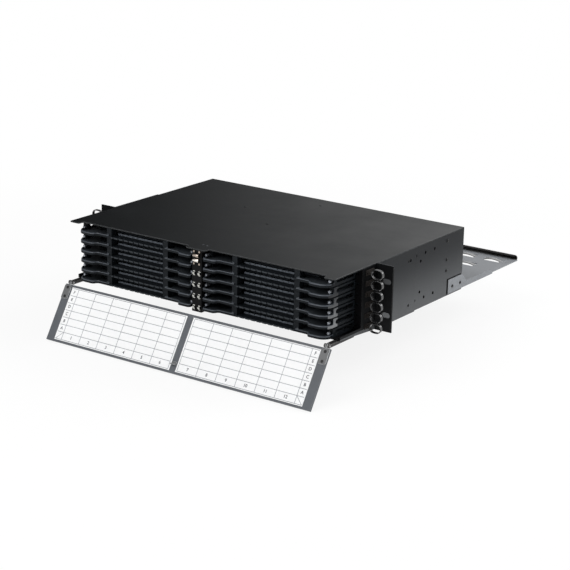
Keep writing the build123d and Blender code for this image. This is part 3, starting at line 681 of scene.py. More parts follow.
def stand(name: str, data: bpy.types.ID) -> Piece:
    """Put a new object in the scene.

    Args:
        name: The object's name.
        data: Its mesh, curve, lamp or camera.

    Returns:
        The object.
    """
    made = bpy.data.objects.new(name, data)
    bpy.context.scene.collection.objects.link(made)
    return made


def stand_shape(name: str, shape: Shape, *finishes: Finish) -> Piece:
    """Turn a filled shape into an object of the scene.

    Args:
        name: The name of the mesh and of the object.
        shape: The filled shape, which is freed.
        *finishes: The finishes, in the order of the faces' material places.

    Returns:
        The object.
    """
    mesh = bpy.data.meshes.new(name)
    shape.to_mesh(mesh)
    shape.free()
    for finish in finishes:
        mesh.materials.append(finish.material())
    return stand(name, mesh)


def plain_mesh(source: Piece) -> bpy.types.Mesh:
    """Copy what an object shows once its modifiers have run.

    Args:
        source: The object.

    Returns:
        A plain mesh.
    """
    bpy.context.view_layer.update()
    graph = bpy.context.evaluated_depsgraph_get()
    return bpy.data.meshes.new_from_object(source.evaluated_get(graph))


def add_block(shape: Shape, across: Pair, back: Pair, up: Pair, finish: int = 0) -> Ring:
    """Add one block to a shape.

    Args:
        shape: The shape to fill.
        across: The block's ends in x.
        back: Its ends in y.
        up: Its ends in z.
        finish: The place of its finish in the mesh's list.

    Returns:
        The block's points.
    """
    made = bmesh.ops.create_cube(shape, size=1.0)["verts"]
    for point in made:
        spans = zip(point.co, (across, back, up))
        point.co = Vector([span[1] if part > 0.0 else span[0] for part, span in spans])
    for face in {face for point in made for face in point.link_faces}:
        face.material_index = finish
    return made


def bridge(shape: Shape, lower: Ring, upper: Ring) -> None:
    """Join two rings of points with a closed band of smooth faces.

    Args:
        shape: The shape to fill.
        lower: The first ring.
        upper: The second ring, with as many points.
    """
    for step, corner in enumerate(lower):
        after = (step + 1) % len(lower)
        face = shape.faces.new((corner, lower[after], upper[after], upper[step]))
        face.smooth = True


def merged_shape(node: str) -> Shape:
    """Open a CAD node's mesh with its loose triangles merged.

    Args:
        node: The CAD node.

    Returns:
        The merged shape.
    """
    shape = bmesh.new()
    shape.from_mesh(frame["nodes"][node].data)
    bmesh.ops.remove_doubles(shape, verts=shape.verts, dist=MERGE_REACH)
    return shape


def solids_of(node: str) -> list[Corners]:
    """Give the corners of each separate solid of a CAD node.

    Args:
        node: The CAD node.

    Returns:
        Pairs of lowest and highest corner, in metres.
    """
    shape = merged_shape(node)
    left = set(shape.verts)
    boxes = []
    while left:
        reach = [left.pop()]
        points = []
        while reach:
            point = reach.pop()
            points.append(point.co.copy())
            ends = {line.other_vert(point) for line in point.link_edges} & left
            left -= ends
            reach.extend(ends)
        boxes.append(corners(points))
    shape.free()
    return sorted(boxes, key=lambda pair: tuple(pair[0]))


def break_edges(
    piece: Piece, width: float, limit: float, harden: bool = True
) -> bpy.types.BevelModifier:
    """Bevel the sharp edges of a piece.

    Args:
        piece: The finished piece.
        width: Bevel width in metres.
        limit: Edges that turn by more than this many degrees are broken.
        harden: True where the flat faces keep their plain shading.

    Returns:
        The bevel.
    """
    bevel = piece.modifiers.new("broken_edges", "BEVEL")
    bevel.width = width
    bevel.segments = BEVEL_STEPS
    bevel.limit_method = "ANGLE"
    bevel.angle_limit = math.radians(limit)
    bevel.harden_normals = harden
    return bevel


def claim(piece: Piece, node: str, stands_in: bool = True) -> None:
    """Let a finished piece move with a CAD node, and report it.

    Args:
        piece: The finished piece.
        node: The CAD node.
        stands_in: True where the piece stands for the node.
    """
    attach(piece, body_of_node(node))
    if stands_in:
        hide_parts(node)
    LOG.info("%s rides on %s", piece.name, body_of_node(node))


def dress(node: str, finish: Finish, edge: Edge | None = None) -> Piece:
    """Make the finished piece that stands for one CAD node.

    Args:
        node: The CAD node.
        finish: The finish of its faces.
        edge: How its edges are broken, or None for sharp ones.

    Returns:
        The finished piece.
    """
    shape = merged_shape(node)
    bmesh.ops.dissolve_limit(
        shape, angle_limit=math.radians(FLAT_LIMIT), verts=shape.verts, edges=shape.edges
    )
    for face in shape.faces:
        face.smooth = edge is not None
        face.material_index = 0
    piece = stand_shape(f"{node}_finished", shape, finish)
    if "custom_normal" in piece.data.attributes:
        piece.data.attributes.remove(piece.data.attributes["custom_normal"])
    if edge is not None:
        # The broken edge takes the edge's finish, a painted highlight where it is lighter.
        piece.data.materials.append(edge.finish.material())
        break_edges(piece, edge.width, SHEET_ANGLE).material = 1
    claim(piece, node)
    return piece


def cut(piece: Piece, axis: int, level: float) -> None:
    """Cut the faces of a piece along a plane, so that each part can take its own finish.

    Args:
        piece: The finished piece.
        axis: 0, 1 or 2 for a plane across X, Y or Z.
        level: Where the plane crosses that axis.
    """
    normal = Vector((0.0, 0.0, 0.0))
    normal[axis] = 1.0
    shape = bmesh.new()
    shape.from_mesh(piece.data)
    every = [*shape.verts, *shape.edges, *shape.faces]
    bmesh.ops.bisect_plane(
        shape, geom=every, dist=CUT_REACH, plane_co=normal * level, plane_no=normal
    )
    shape.to_mesh(piece.data)
    shape.free()


def repaint(piece: Piece, finish: Finish, inside: Region, keep: Finish | None = None) -> None:
    """Give the faces whose centres lie in a region another finish.

    Args:
        piece: The finished piece.
        finish: The other finish.
        inside: The region.
        keep: A finish whose faces stay as they are, or None.
    """
    painted = piece.data.materials
    painted.append(finish.material())
    kept = {place for place, made in enumerate(painted) if keep and made == keep.material()}
    for face in piece.data.polygons:
        if face.material_index not in kept and inside.holds(face.center, face.normal):
            face.material_index = len(painted) - 1


class HeadShape(Enum):
    """The kinds of turned heads on the panel, each with its profile.

    A profile's points are pairs of radius and height, each as a share.
    """

    RIVET = ((1.0, 0.0), (0.97, 0.3), (0.85, 0.62), (0.6, 0.88), (0.3, 0.98))
    SCREW = ((1.0, 0.0), (1.0, 0.45), (0.93, 0.78), (0.78, 0.97), (0.55, 1.0), (0.5, 0.96))
    KNOB = (
        (0.62, 0.0),
        (0.62, 0.22),
        (0.9, 0.26),
        (1.0, 0.34),
        (1.0, 0.8),
        (0.93, 0.93),
        (0.78, 1.0),
        (0.66, 0.97),
        (0.6, 0.9),
    )


SOCKET_PROFILE = ((0.46, 0.94), (0.44, 0.35))


@dataclass(frozen=True)
class TurnedHead:
    """A turned head or knob about +Z, with its seat at z = 0.

    Attributes:
        shape: The kind of head; only a screw has a six-sided socket.
        radius: Outer radius in metres.
        height: Height above the seat in metres.
        segments: Steps round the axis.
    """

    shape: HeadShape
    radius: float
    height: float
    segments: int = 24

    def template(self) -> Piece:
        """Build the head as an object of its own, to be repeated.

        Returns:
            The template object.
        """
        shape = bmesh.new()
        rings = [self._ring(shape, *point, False) for point in self.shape.value]
        if self.shape is HeadShape.SCREW:
            rings += [self._ring(shape, *point, True) for point in SOCKET_PROFILE]
        for lower, upper in zip(rings, rings[1:]):
            bridge(shape, lower, upper)
        shape.faces.new(rings[-1])
        shape.faces.new(list(reversed(rings[0])))
        return stand_shape(f"{self.shape.name.lower()}_template", shape)

    def _ring(self, shape: Shape, radius: float, height: float, six_sided: bool) -> Ring:
        """Add one ring of points.

        Args:
            shape: The shape to fill.
            radius: The ring's radius, as a share of the head's.
            height: The ring's height, as a share of the head's.
            six_sided: True for points on a hexagon.

        Returns:
            The ring's points.
        """
        points = []
        for step in range(self.segments):
            angle = 2.0 * math.pi * step / self.segments
            within = (angle + math.pi / 6.0) % (math.pi / 3.0) - math.pi / 6.0
            reach = math.cos(math.pi / 6.0) / math.cos(within) if six_sided else 1.0
            size = radius * self.radius * reach
            place = (size * math.cos(angle), size * math.sin(angle), height * self.height)
            points.append(shape.verts.new(place))
        return points


class PieceTree:
    """A geometry tree whose named inputs make one piece in one finish."""

    def __init__(self, name: str, inputs: tuple[tuple[str, str, object], ...]) -> None:
        """Start the tree.

        Args:
            name: The tree's name.
            inputs: Name, short type and default of each input.
        """
        self.tree = bpy.data.node_groups.new(name, "GeometryNodeTree")
        self.inputs = {
            label: declare(self.tree, label, kind, default)
            for label, kind, default in (*inputs, ("Finish", "Material", None))
        }
        declare(self.tree, "Geometry", "Geometry", out=True)
        self.grid = Grid(self.tree)
        self.entry = self.grid.add("NodeGroupInput")

    def close(self, instances: Socket) -> None:
        """End the tree with real geometry in the given finish.

        Args:
            instances: What the tree has made.
        """
        whole = self.grid.add("GeometryNodeRealizeInstances", {"Geometry": instances})
        paint = {
            "Geometry": whole.outputs["Geometry"],
            "Material": self.entry.outputs["Finish"],
        }
        painted = self.grid.add("GeometryNodeSetMaterial", paint)
        self.grid.add("NodeGroupOutput", {"Geometry": painted.outputs["Geometry"]})

    def make(
        self, name: str, start: bpy.types.Mesh, values: dict[str, object], finish: Finish
    ) -> Piece:
        """Run the tree once and keep the result as a plain mesh.

        Args:
            name: The piece's name.
            start: The mesh that the tree starts from.
            values: The named inputs.
            finish: The finish of the piece.

        Returns:
            The piece, with no modifier left.
        """
        piece = stand(name, start)
        modifier = piece.modifiers.new("draw", "NODES")
        modifier.node_group = self.tree
        for label, value in {**values, "Finish": finish.material()}.items():
            modifier[self.inputs[label].identifier] = value
        mesh = plain_mesh(piece)
        piece.modifiers.clear()
        piece.data = mesh
        mesh.name = name
        if not mesh.materials:
            mesh.materials.append(finish.material())
        return piece


class RepeatTree(PieceTree):
    """The geometry tree that sets a template on every point, turned to the point's facing."""

    def __init__(self) -> None:
        """Build the tree with its named inputs."""
        inputs = (("Points", "Geometry", None), ("Template", "Object", None))
        super().__init__("repeat_on_points", inputs)
        given = self.entry.outputs
        facing = self.grid.add(
            "GeometryNodeInputNamedAttribute", {"Name": "facing"}, data_type="FLOAT_VECTOR"
        )
        way = {"Vector": facing.outputs["Attribute"]}
        turn = self.grid.add("FunctionNodeAlignRotationToVector", way, axis="Z")
        source = self.grid.add("GeometryNodeObjectInfo", {"Object": given["Template"]})
        places = {
            "Points": given["Points"],
            "Instance": source.outputs["Geometry"],
            "Rotation": turn.outputs["Rotation"],
        }
        spread = self.grid.add("GeometryNodeInstanceOnPoints", places)
        self.close(spread.outputs["Instances"])

    def run(self, name: str, places: list[Corners], template: Piece, finish: Finish) -> Piece:
        """Set the template on each place, and drop the template.

        Args:
            name: The new piece's name.
            places: Pairs of seat and facing.
            template: The template object.
            finish: The finish of the copies.

        Returns:
            The piece, with its place in its mesh.
        """
        points = bpy.data.meshes.new(f"{name}_points")
        points.from_pydata([tuple(seat) for seat, _ in places], [], [])
        facing = points.attributes.new("facing", "FLOAT_VECTOR", "POINT")
        facing.data.foreach_set("vector", [part for _, way in places for part in way])
        piece = self.make(name, points, {"Template": template}, finish)
        bpy.data.objects.remove(template)
        return piece


class TableTree(PieceTree):
    """The geometry tree that draws the ruled table of one label card.

    The table's own frame has X across the card, Y up it and Z out of it.
    """

    def __init__(self) -> None:
        """Build the tree with its named inputs."""
        lengths = ("Left", "Bottom", "Column pitch", "Row pitch", "Line width", "Line rise")
        inputs = [("Columns", "Int", 6), ("Rows", "Int", 7)]
        inputs += [(label, "Float", None) for label in (*lengths, "Whole width", "Whole left")]
        super().__init__("ruled_table", tuple(inputs))
        given, grid = self.entry.outputs, self.grid
        height = grid.math("MULTIPLY", given["Rows"], given["Row pitch"])
        middle = grid.math("ADD", given["Bottom"], grid.math("MULTIPLY", height, 0.5))
        half = grid.math("MULTIPLY", given["Whole width"], 0.5)
        across = grid.math("ADD", given["Whole left"], half)
        uprights = self._lines(
            count=grid.math("ADD", given["Columns"], 1.0),
            start=(given["Left"], middle),
            step=(given["Column pitch"], 0.0),
            size=(given["Line width"], height),
        )
        levels = self._lines(
            count=grid.math("ADD", given["Rows"], 1.0),
            start=(across, given["Bottom"]),
            step=(0.0, given["Row pitch"]),
            size=(given["Whole width"], given["Line width"]),
        )
        both = grid.add("GeometryNodeJoinGeometry", {"Geometry": uprights})
        grid.tree.links.new(levels, both.inputs["Geometry"])
        self.close(both.outputs["Geometry"])

    def _vector(self, parts: tuple[object, object], third: object = 0.0) -> Socket:
        """Combine three sockets or numbers into a vector."""
        parts_by_place = dict(enumerate((*parts, third)))
        return self.grid.add("ShaderNodeCombineXYZ", parts_by_place).outputs[0]

    def _lines(
        self,
        count: Socket,
        start: tuple[object, object],
        step: tuple[object, object],
        size: tuple[object, object],
    ) -> Socket:
        """Draw one family of parallel lines as thin bars.

        Args:
            count: How many lines.
            start: The first line's middle.
            step: The way from one line to the next.
            size: A line's width and height.

        Returns:
            The instances' socket.
        """
        line = {
            "Count": count,
            "Start Location": self._vector(start),
            "Offset": self._vector(step),
        }
        row = self.grid.add("GeometryNodeMeshLine", line, mode="OFFSET")
        rise = self.entry.outputs["Line rise"]
        bar = self.grid.add("GeometryNodeMeshCube", {"Size": self._vector(size, rise)})
        places = {"Points": row.outputs["Mesh"], "Instance": bar.outputs["Mesh"]}
        return self.grid.add("GeometryNodeInstanceOnPoints", places).outputs["Instances"]

    def run(self, name: str, values: dict[str, object], finish: Finish) -> Piece:
        """Draw one table in its own frame, from its named inputs."""
        return self.make(name, bpy.data.meshes.new(f"{name}_start"), values, finish)


REPEATS = RepeatTree()
TABLES = TableTree()


@dataclass
class Enclosure:
    """The folded steel case with its cover, ears, divider, guides and slack plate.

    Attributes:
        coat_edge: Width of the broken edges of the case's sheets.
        slack_edge: Width of the slack plate's broken edges.
        skin: How far in from the case's outside the inner faces start.
        patch_front: Where the wall's patch behind the slack plate's tab starts.
        patch_depth: How far in from the wall's outside the patch lies at most.
        patch_top: The patch's top.
        rail_top: Height up to which the pan's front rail keeps the wall's tone.
        ear_rear: Depth in front of which a bracket is its ear.
        lip_depth: How thick the slack plate's dark rear lip is.
        lip_rise: How far above the plate's underside the lip's dark faces start.
        tab_rear: How far back the sheet edges of the side tabs lie in the wall's shade, painted
            dark as shade.
        tab_rise: How far above the plate's underside those edges start.
        bridge_front: Where the tie bridges start, counted back.
        bridge_inset: How far in from the slack plate's sides they stay.
        bridge_rise: How far above the plate's underside their lighter faces, a painted highlight,
            start.
        front_rivet_line: Cover rivets in front of this depth show bare metal.
        cover_rivet: Head of a coated cover rivet.
        front_rivet: Head of a bare cover rivet.
        wall_screw: Head of a screw on the walls.
    """

    coat_edge: float = 0.3 * MM
    slack_edge: float = 0.45 * MM
    skin: float = 0.3 * MM
    patch_front: float = 175.0 * MM
    patch_depth: float = 5.5 * MM
    patch_top: float = -17.0 * MM
    rail_top: float = -38.0 * MM
    ear_rear: float = 0.2 * MM
    lip_depth: float = 4.5 * MM
    lip_rise: float = 1.5 * MM
    tab_rear: float = 223.0 * MM
    tab_rise: float = 3.0 * MM
    bridge_front: float = 320.0 * MM
    bridge_inset: float = 12.0 * MM
    bridge_rise: float = 1.65 * MM
    front_rivet_line: float = -60.0 * MM
    cover_rivet: TurnedHead = TurnedHead(HeadShape.RIVET, 2.35 * MM, 0.38 * MM)
    front_rivet: TurnedHead = TurnedHead(HeadShape.RIVET, 1.5 * MM, 0.38 * MM)
    wall_screw: TurnedHead = TurnedHead(HeadShape.SCREW, 2.05 * MM, 1.15 * MM)

    def build(self) -> None:
        """Dress every piece of the case."""
        edge = Edge(self.coat_edge, COAT_EDGE_HIGHLIGHT)
        dress("top_cover", COVER_COAT, edge)
        self._chassis(edge)
        for side in Side:
            bracket = dress(f"rack_bracket_{side.word}", LIT_WALL_COAT, edge)
            # Painted shade: each bracket's ear takes the darker coat.
            repaint(bracket, SHADED_EAR_COAT, Region(back=(-math.inf, self.ear_rear)))
            dress(f"side_guide_{side.word}", GUIDE_PLASTIC)
            dress(f"centre_guide_{side.word}", GUIDE_PLASTIC)
        dress("centre_divider", POST_COAT, Edge(self.coat_edge, POST_COAT))
        self._slack_plate()
        self._fasteners()

    def _chassis(self, edge: Edge) -> None:
        """Dress the pan and walls, with painted shade on their inside faces, on the patches behind
        the slack plate's tabs and on the front strip.

        Args:
            edge: How its edges are broken.
        """
        chassis = dress("chassis_base", LIT_WALL_COAT, edge)
        low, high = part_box("chassis_base")
        cut(chassis, 1, 0.0)
        cut(chassis, 2, self.rail_top)
        for side in Side:
            patch = Region(
                across=(side.value * (high.x - self.patch_depth), side.value * math.inf),
                back=(self.patch_front, math.inf),
                up=(-math.inf, self.patch_top),
                facing=(side.value, 0.0, 0.0),
            )
            # Painted shade: the patch seen through the gap round each tab is painted dark.
            repaint(chassis, INNER_SHADE_COAT, patch)
        inside = Region(
            across=(low.x + self.skin, high.x - self.skin),
            back=(low.y, high.y),
            up=(low.z + self.skin, high.z),
        )
        # Painted shade: the inside faces are painted darker than the outside.
        repaint(chassis, INNER_SHADE_COAT, inside)
        # Painted shade: the wall's front strip beside the rings takes the darker coat.
        front = Region(back=(-math.inf, 0.0), up=(self.rail_top, math.inf))
        repaint(chassis, SHADED_EAR_COAT, front, keep=INNER_SHADE_COAT)

    def _slack_plate(self) -> None:
        """Dress the slack plate, with its dark rear lip, tab edges painted dark as shade and tie
        bridges painted lighter as a highlight.
        """
        plate = dress("slack_plate", SLACK_COAT, Edge(self.slack_edge, SLACK_EDGE_HIGHLIGHT))
        low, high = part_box("slack_plate")
        lip_front = high.y - self.lip_depth
        lip = Region(back=(lip_front, math.inf), up=(low.z + self.lip_rise, math.inf))
        repaint(plate, DARK_LIP_AND_EDGE_SHADE, lip)
        # Painted shade: the tabs' sheet edges take the dark lip finish.
        for way in (FORWARD, UPWARD):
            tab_edge = Region(
                back=(-math.inf, self.tab_rear), up=(low.z + self.tab_rise, high.z), facing=way
            )
            repaint(plate, DARK_LIP_AND_EDGE_SHADE, tab_edge)
        # Painted highlight on the tie bridges.
        bridges = Region(
            across=(low.x + self.bridge_inset, high.x - self.bridge_inset),
            back=(self.bridge_front, lip_front),
            up=(low.z + self.bridge_rise, high.z),
        )
        repaint(plate, BRIDGE_TOP_HIGHLIGHT, bridges)

    def _fasteners(self) -> None:
        """Turn the cover rivets and the case screws from their plain CAD heads."""
        rivets, lit_front_edge, screws = [], [], []
        for low, high in solids_of("case_screws"):
            middle = (low + high) / 2.0
            size = high - low
            thin = min(range(3), key=lambda axis: size[axis])
            way = Vector((0.0, 0.0, 0.0))
            way[thin] = 1.0 if middle[thin] > 0.0 else -1.0
            seat = middle.copy()
            seat[thin] = low[thin] if way[thin] > 0.0 else high[thin]
            on_cover = lit_front_edge if middle.y < self.front_rivet_line else rivets
            (screws if thin != 2 else on_cover).append((seat, way))
        for name, places, head, finish in (
            ("cover_rivets", rivets, self.cover_rivet, COVER_COAT),
            ("front_rivets", lit_front_edge, self.front_rivet, RIVET_ZINC),
            ("case_screw_heads", screws, self.wall_screw, SCREW_OXIDE),
        ):
            piece = REPEATS.run(name, places, head.template(), finish)
            claim(piece, "case_screws")


@dataclass
class TrayStack:
    """The twelve sliding trays with their pull knobs.

    Attributes:
        rows: Trays in one stack.
        lip_edge: Width of the rounded edges of the mouldings.
        lip_zone: How far behind a tray's front its lips and ridge reach.
        lip_heights: Heights above a tray's underside between which their tops lie.
        lip_round: Radius that rounds the lips' upper front edges over.
        lip_steps: Steps across that rounding.
        upright_limit: Most that a lip's front face may lean, as its normal's z.
        level_limit: Least that a lip's top looks up, as its normal's z.
        front_limit: Least that a lip's front looks forward, as its normal's y.
        floor_heights: Heights above a tray's underside between which its floor lies.
        edge_span: Distances from the panel's middle between which the lighter front edge, a painted
            highlight, runs.
        edge_reach: How far behind the tray's front corner that painted highlight lies at most.
        comb_span: Distances from the panel's middle of the comb's first and last tooth.
        comb_teeth: Teeth of the comb.
        comb_back: How far behind the tray's front corner the comb stands.
        comb_size: Length, depth and height of a tooth.
        comb_taper: A tooth's top as a share of its foot.
        plate_zone: Where the side plate is painted pale as lit, counted back from the tray's front.
        plate_depth: How far in or out from the tray's outer side the painted faces lie.
        knob_turn: How far a knob leans outward, as a slope.
        knob_share: Share of the CAD knob's radius that the turned knob takes.
        knob_front: Share of a knob's length that is left behind its pale front, partly the knob's
            grey and partly a painted highlight.
        stem_reach: How much further out the knobs beside the post stand than the outer ones.
        post_shift: How much nearer the post they stand than in the plain solids.
    """

    rows: int = 6
    lip_edge: float = 0.35 * MM
    lip_zone: float = 32.0 * MM
    lip_heights: Pair = (3.0 * MM, 6.0 * MM)
    lip_round: float = 1.3 * MM
    lip_steps: int = 3
    upright_limit: float = 0.2
    level_limit: float = 0.95
    front_limit: float = -0.3
    floor_heights: Pair = (1.2 * MM, 2.2 * MM)
    edge_span: Pair = (61.0 * MM, 149.5 * MM)
    edge_reach: float = 9.2 * MM
    comb_span: Pair = (67.0 * MM, 145.0 * MM)
    comb_teeth: int = 10
    comb_back: float = 22.0 * MM
    comb_size: Triple = (8.5 * MM, 1.6 * MM, 2.2 * MM)
    comb_taper: float = 0.86
    plate_zone: Pair = (7.0 * MM, 24.0 * MM)
    plate_depth: float = 3.0 * MM
    knob_turn: float = 0.12
    knob_share: float = 0.8
    knob_front: float = 0.5
    stem_reach: float = 4.0 * MM
    post_shift: float = 0.5 * MM

    def build(self) -> None:
        """Dress every tray and turn its knobs."""
        for side in Side:
            for row in range(1, self.rows + 1):
                self._tray(side, row)
                knobs = f"tray_knobs_{side.word}_{row}"
                ends = sorted(solids_of(knobs), key=lambda pair: abs(pair[0].x + pair[1].x))
                for place, (low, high) in enumerate(ends):
                    self._knob(knobs, side, place, low, high)

    def _tray(self, side: Side, row: int) -> None:
        """Dress one tray, with painted highlights on its lip tops, painted light on its floor and,
        in the middle rows, on its side plate.

        Args:
            side: The stack's side.
            row: The row, from the lowest.
        """
        node = f"tray_{side.word}_{row}"
        tray = dress(node, TRAY_PLASTIC, Edge(self.lip_edge, TRAY_EDGE_HIGHLIGHT))
        low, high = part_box(node)
        self._round_lips(tray, low)
        start, end = (low.y + reach for reach in self.plate_zone)
        cut(tray, 1, end)
        # Painted light on the side plate; only the middle rows get it.
        if 1 < row < self.rows:
            front = (point.co for point in tray.data.vertices if point.co.y < end)
            outer = side.value * max(side.value * point.x for point in front)
            plate = Region(
                across=centred(2.0 * self.plate_depth, outer),
                back=(start, end),
                up=(low.z, high.z),
                facing=(side.value, 0.0, 0.0),
            )
            repaint(tray, LIT_TRAY_PLATE, plate)
        self._floor(tray, side, low, high)
        # Painted highlight on the lips' tops.
        first, last = self.lip_heights
        lit_lip_tops = Region(
            back=(-math.inf, low.y + self.lip_zone),
            up=(low.z + first, low.z + last),
            facing=UPWARD,
        )
        repaint(tray, TRAY_LIP_HIGHLIGHT, lit_lip_tops)
        self._comb(node, side, low)

    def _round_lips(self, tray: Piece, low: Vector) -> None:
        """Round over the upper front edges of a tray's lips and ridge, and give the rounding the
        lips' painted highlight.

        Args:
            tray: The dressed tray.
            low: The tray's lowest corner.
        """
        tray.data.materials.append(TRAY_LIP_HIGHLIGHT.material())
        shape = bmesh.new()
        shape.from_mesh(tray.data)
        shape.normal_update()
        first, last = (low.z + height for height in self.lip_heights)
        rear = low.y + self.lip_zone
        edges = []
        for edge in shape.edges:
            if len(edge.link_faces) != 2:
                continue
            if any(not first < end.co.z < last or end.co.y > rear for end in edge.verts):
                continue
            lower, upper = sorted(face.normal.z for face in edge.link_faces)
            front = min(face.normal.y for face in edge.link_faces)
            level = abs(lower) < self.upright_limit and upper > self.level_limit
            if level and front < self.front_limit:
                edges.append(edge)
        made = bmesh.ops.bevel(
            shape,
            geom=edges,
            offset=self.lip_round,
            segments=self.lip_steps,
            profile=ROUND_PROFILE,
            affect="EDGES",
            clamp_overlap=False,
            material=len(tray.data.materials) - 1,
        )
        for face in made["faces"]:
            face.smooth = True
        shape.to_mesh(tray.data)
        shape.free()

    def _floor(self, tray: Piece, side: Side, low: Vector, high: Vector) -> None:
        """Paint light on a tray's floor beside its front pillars, and a highlight on the front edge
        between them.

        Args:
            tray: The dressed tray.
            side: The stack's side.
            low: The tray's lowest corner.
            high: The tray's highest corner.
        """
        first, last = (low.z + height for height in self.floor_heights)
        near, far = sorted(side.value * reach for reach in self.edge_span)
        for edge in (near, far):
            cut(tray, 0, edge)
        # Painted light on the floor outside the pillars.
        for ends in ((low.x, near), (far, high.x)):
            repaint(tray, TRAY_FLOOR_LIGHT, Region(across=ends, up=(first, last), facing=UPWARD))
        # Painted highlight on the front edge between the pillars.
        lit_front_edge = Region(
            across=(near, far),
            back=(low.y, low.y + self.edge_reach),
            up=(-math.inf, last),
            facing=FORWARD,
        )
        repaint(tray, TRAY_FLOOR_LIGHT, lit_front_edge)

    def _comb(self, node: str, side: Side, low: Vector) -> None:
        """Stand the row of low teeth on a tray's floor behind its front edge, painted lighter as a
        highlight.

        Args:
            node: The tray's node.
            side: The stack's side.
            low: The tray's lowest corner.
        """
        floor, top = (low.z + height for height in self.floor_heights)
        heights = [point.z for point in cad_points(node) if floor < point.z < top]
        level = max(heights, default=floor)
        length, depth, height = self.comb_size
        shape = bmesh.new()
        for point in add_block(shape, centred(length), centred(depth), (0.0, height)):
            taper = self.comb_taper if point.co.z > 0.0 else 1.0
            point.co = Vector((point.co.x * taper, point.co.y * taper, point.co.z))
        start, end = self.comb_span
        places = []
        for tooth in range(self.comb_teeth):
            across = start + (end - start) * tooth / (self.comb_teeth - 1)
            seat = Vector((side.value * across, low.y + self.comb_back, level))
            places.append((seat, Vector(UPWARD)))
        # The teeth carry a painted highlight.
        piece = REPEATS.run(f"{node}_comb", places, stand_shape("comb_tooth", shape), TRAY_COMB_HIGHLIGHT)
        claim(piece, node, stands_in=False)

    def _knob(self, node: str, side: Side, place: int, low: Vector, high: Vector) -> None:
        """Turn one knob; the one beside the post stands on a longer stem.

        Args:
            node: The knobs' node.
            side: The stack's side.
            place: 0 for the knob beside the post, 1 for the outer one.
            low: The CAD knob's lowest corner.
            high: The CAD knob's highest corner.
        """
        by_post = place == 0
        middle = (low + high) / 2.0
        shift = side.value * self.post_shift if by_post else 0.0
        seat = Vector((middle.x - shift, high.y, middle.z))
        length = high.y - low.y + (self.stem_reach if by_post else 0.0)
        radius = self.knob_share * (high.z - low.z) / 2.0
        template = TurnedHead(HeadShape.KNOB, radius, length).template()
        outward = side.value * (-1.0 if by_post else 1.0)
        facing = Vector((outward * self.knob_turn, -1.0, 0.0)).normalized()
        piece = REPEATS.run(f"{node}_turned_{place + 1}", [(seat, facing)], template, KNOB_BARREL)
        # The front face is partly the knob's grey and partly a painted highlight.
        front = Region(back=(-math.inf, seat.y - length * self.knob_front), facing=tuple(facing))
        repaint(piece, KNOB_FACE_AND_HIGHLIGHT, front)
        claim(piece, node)


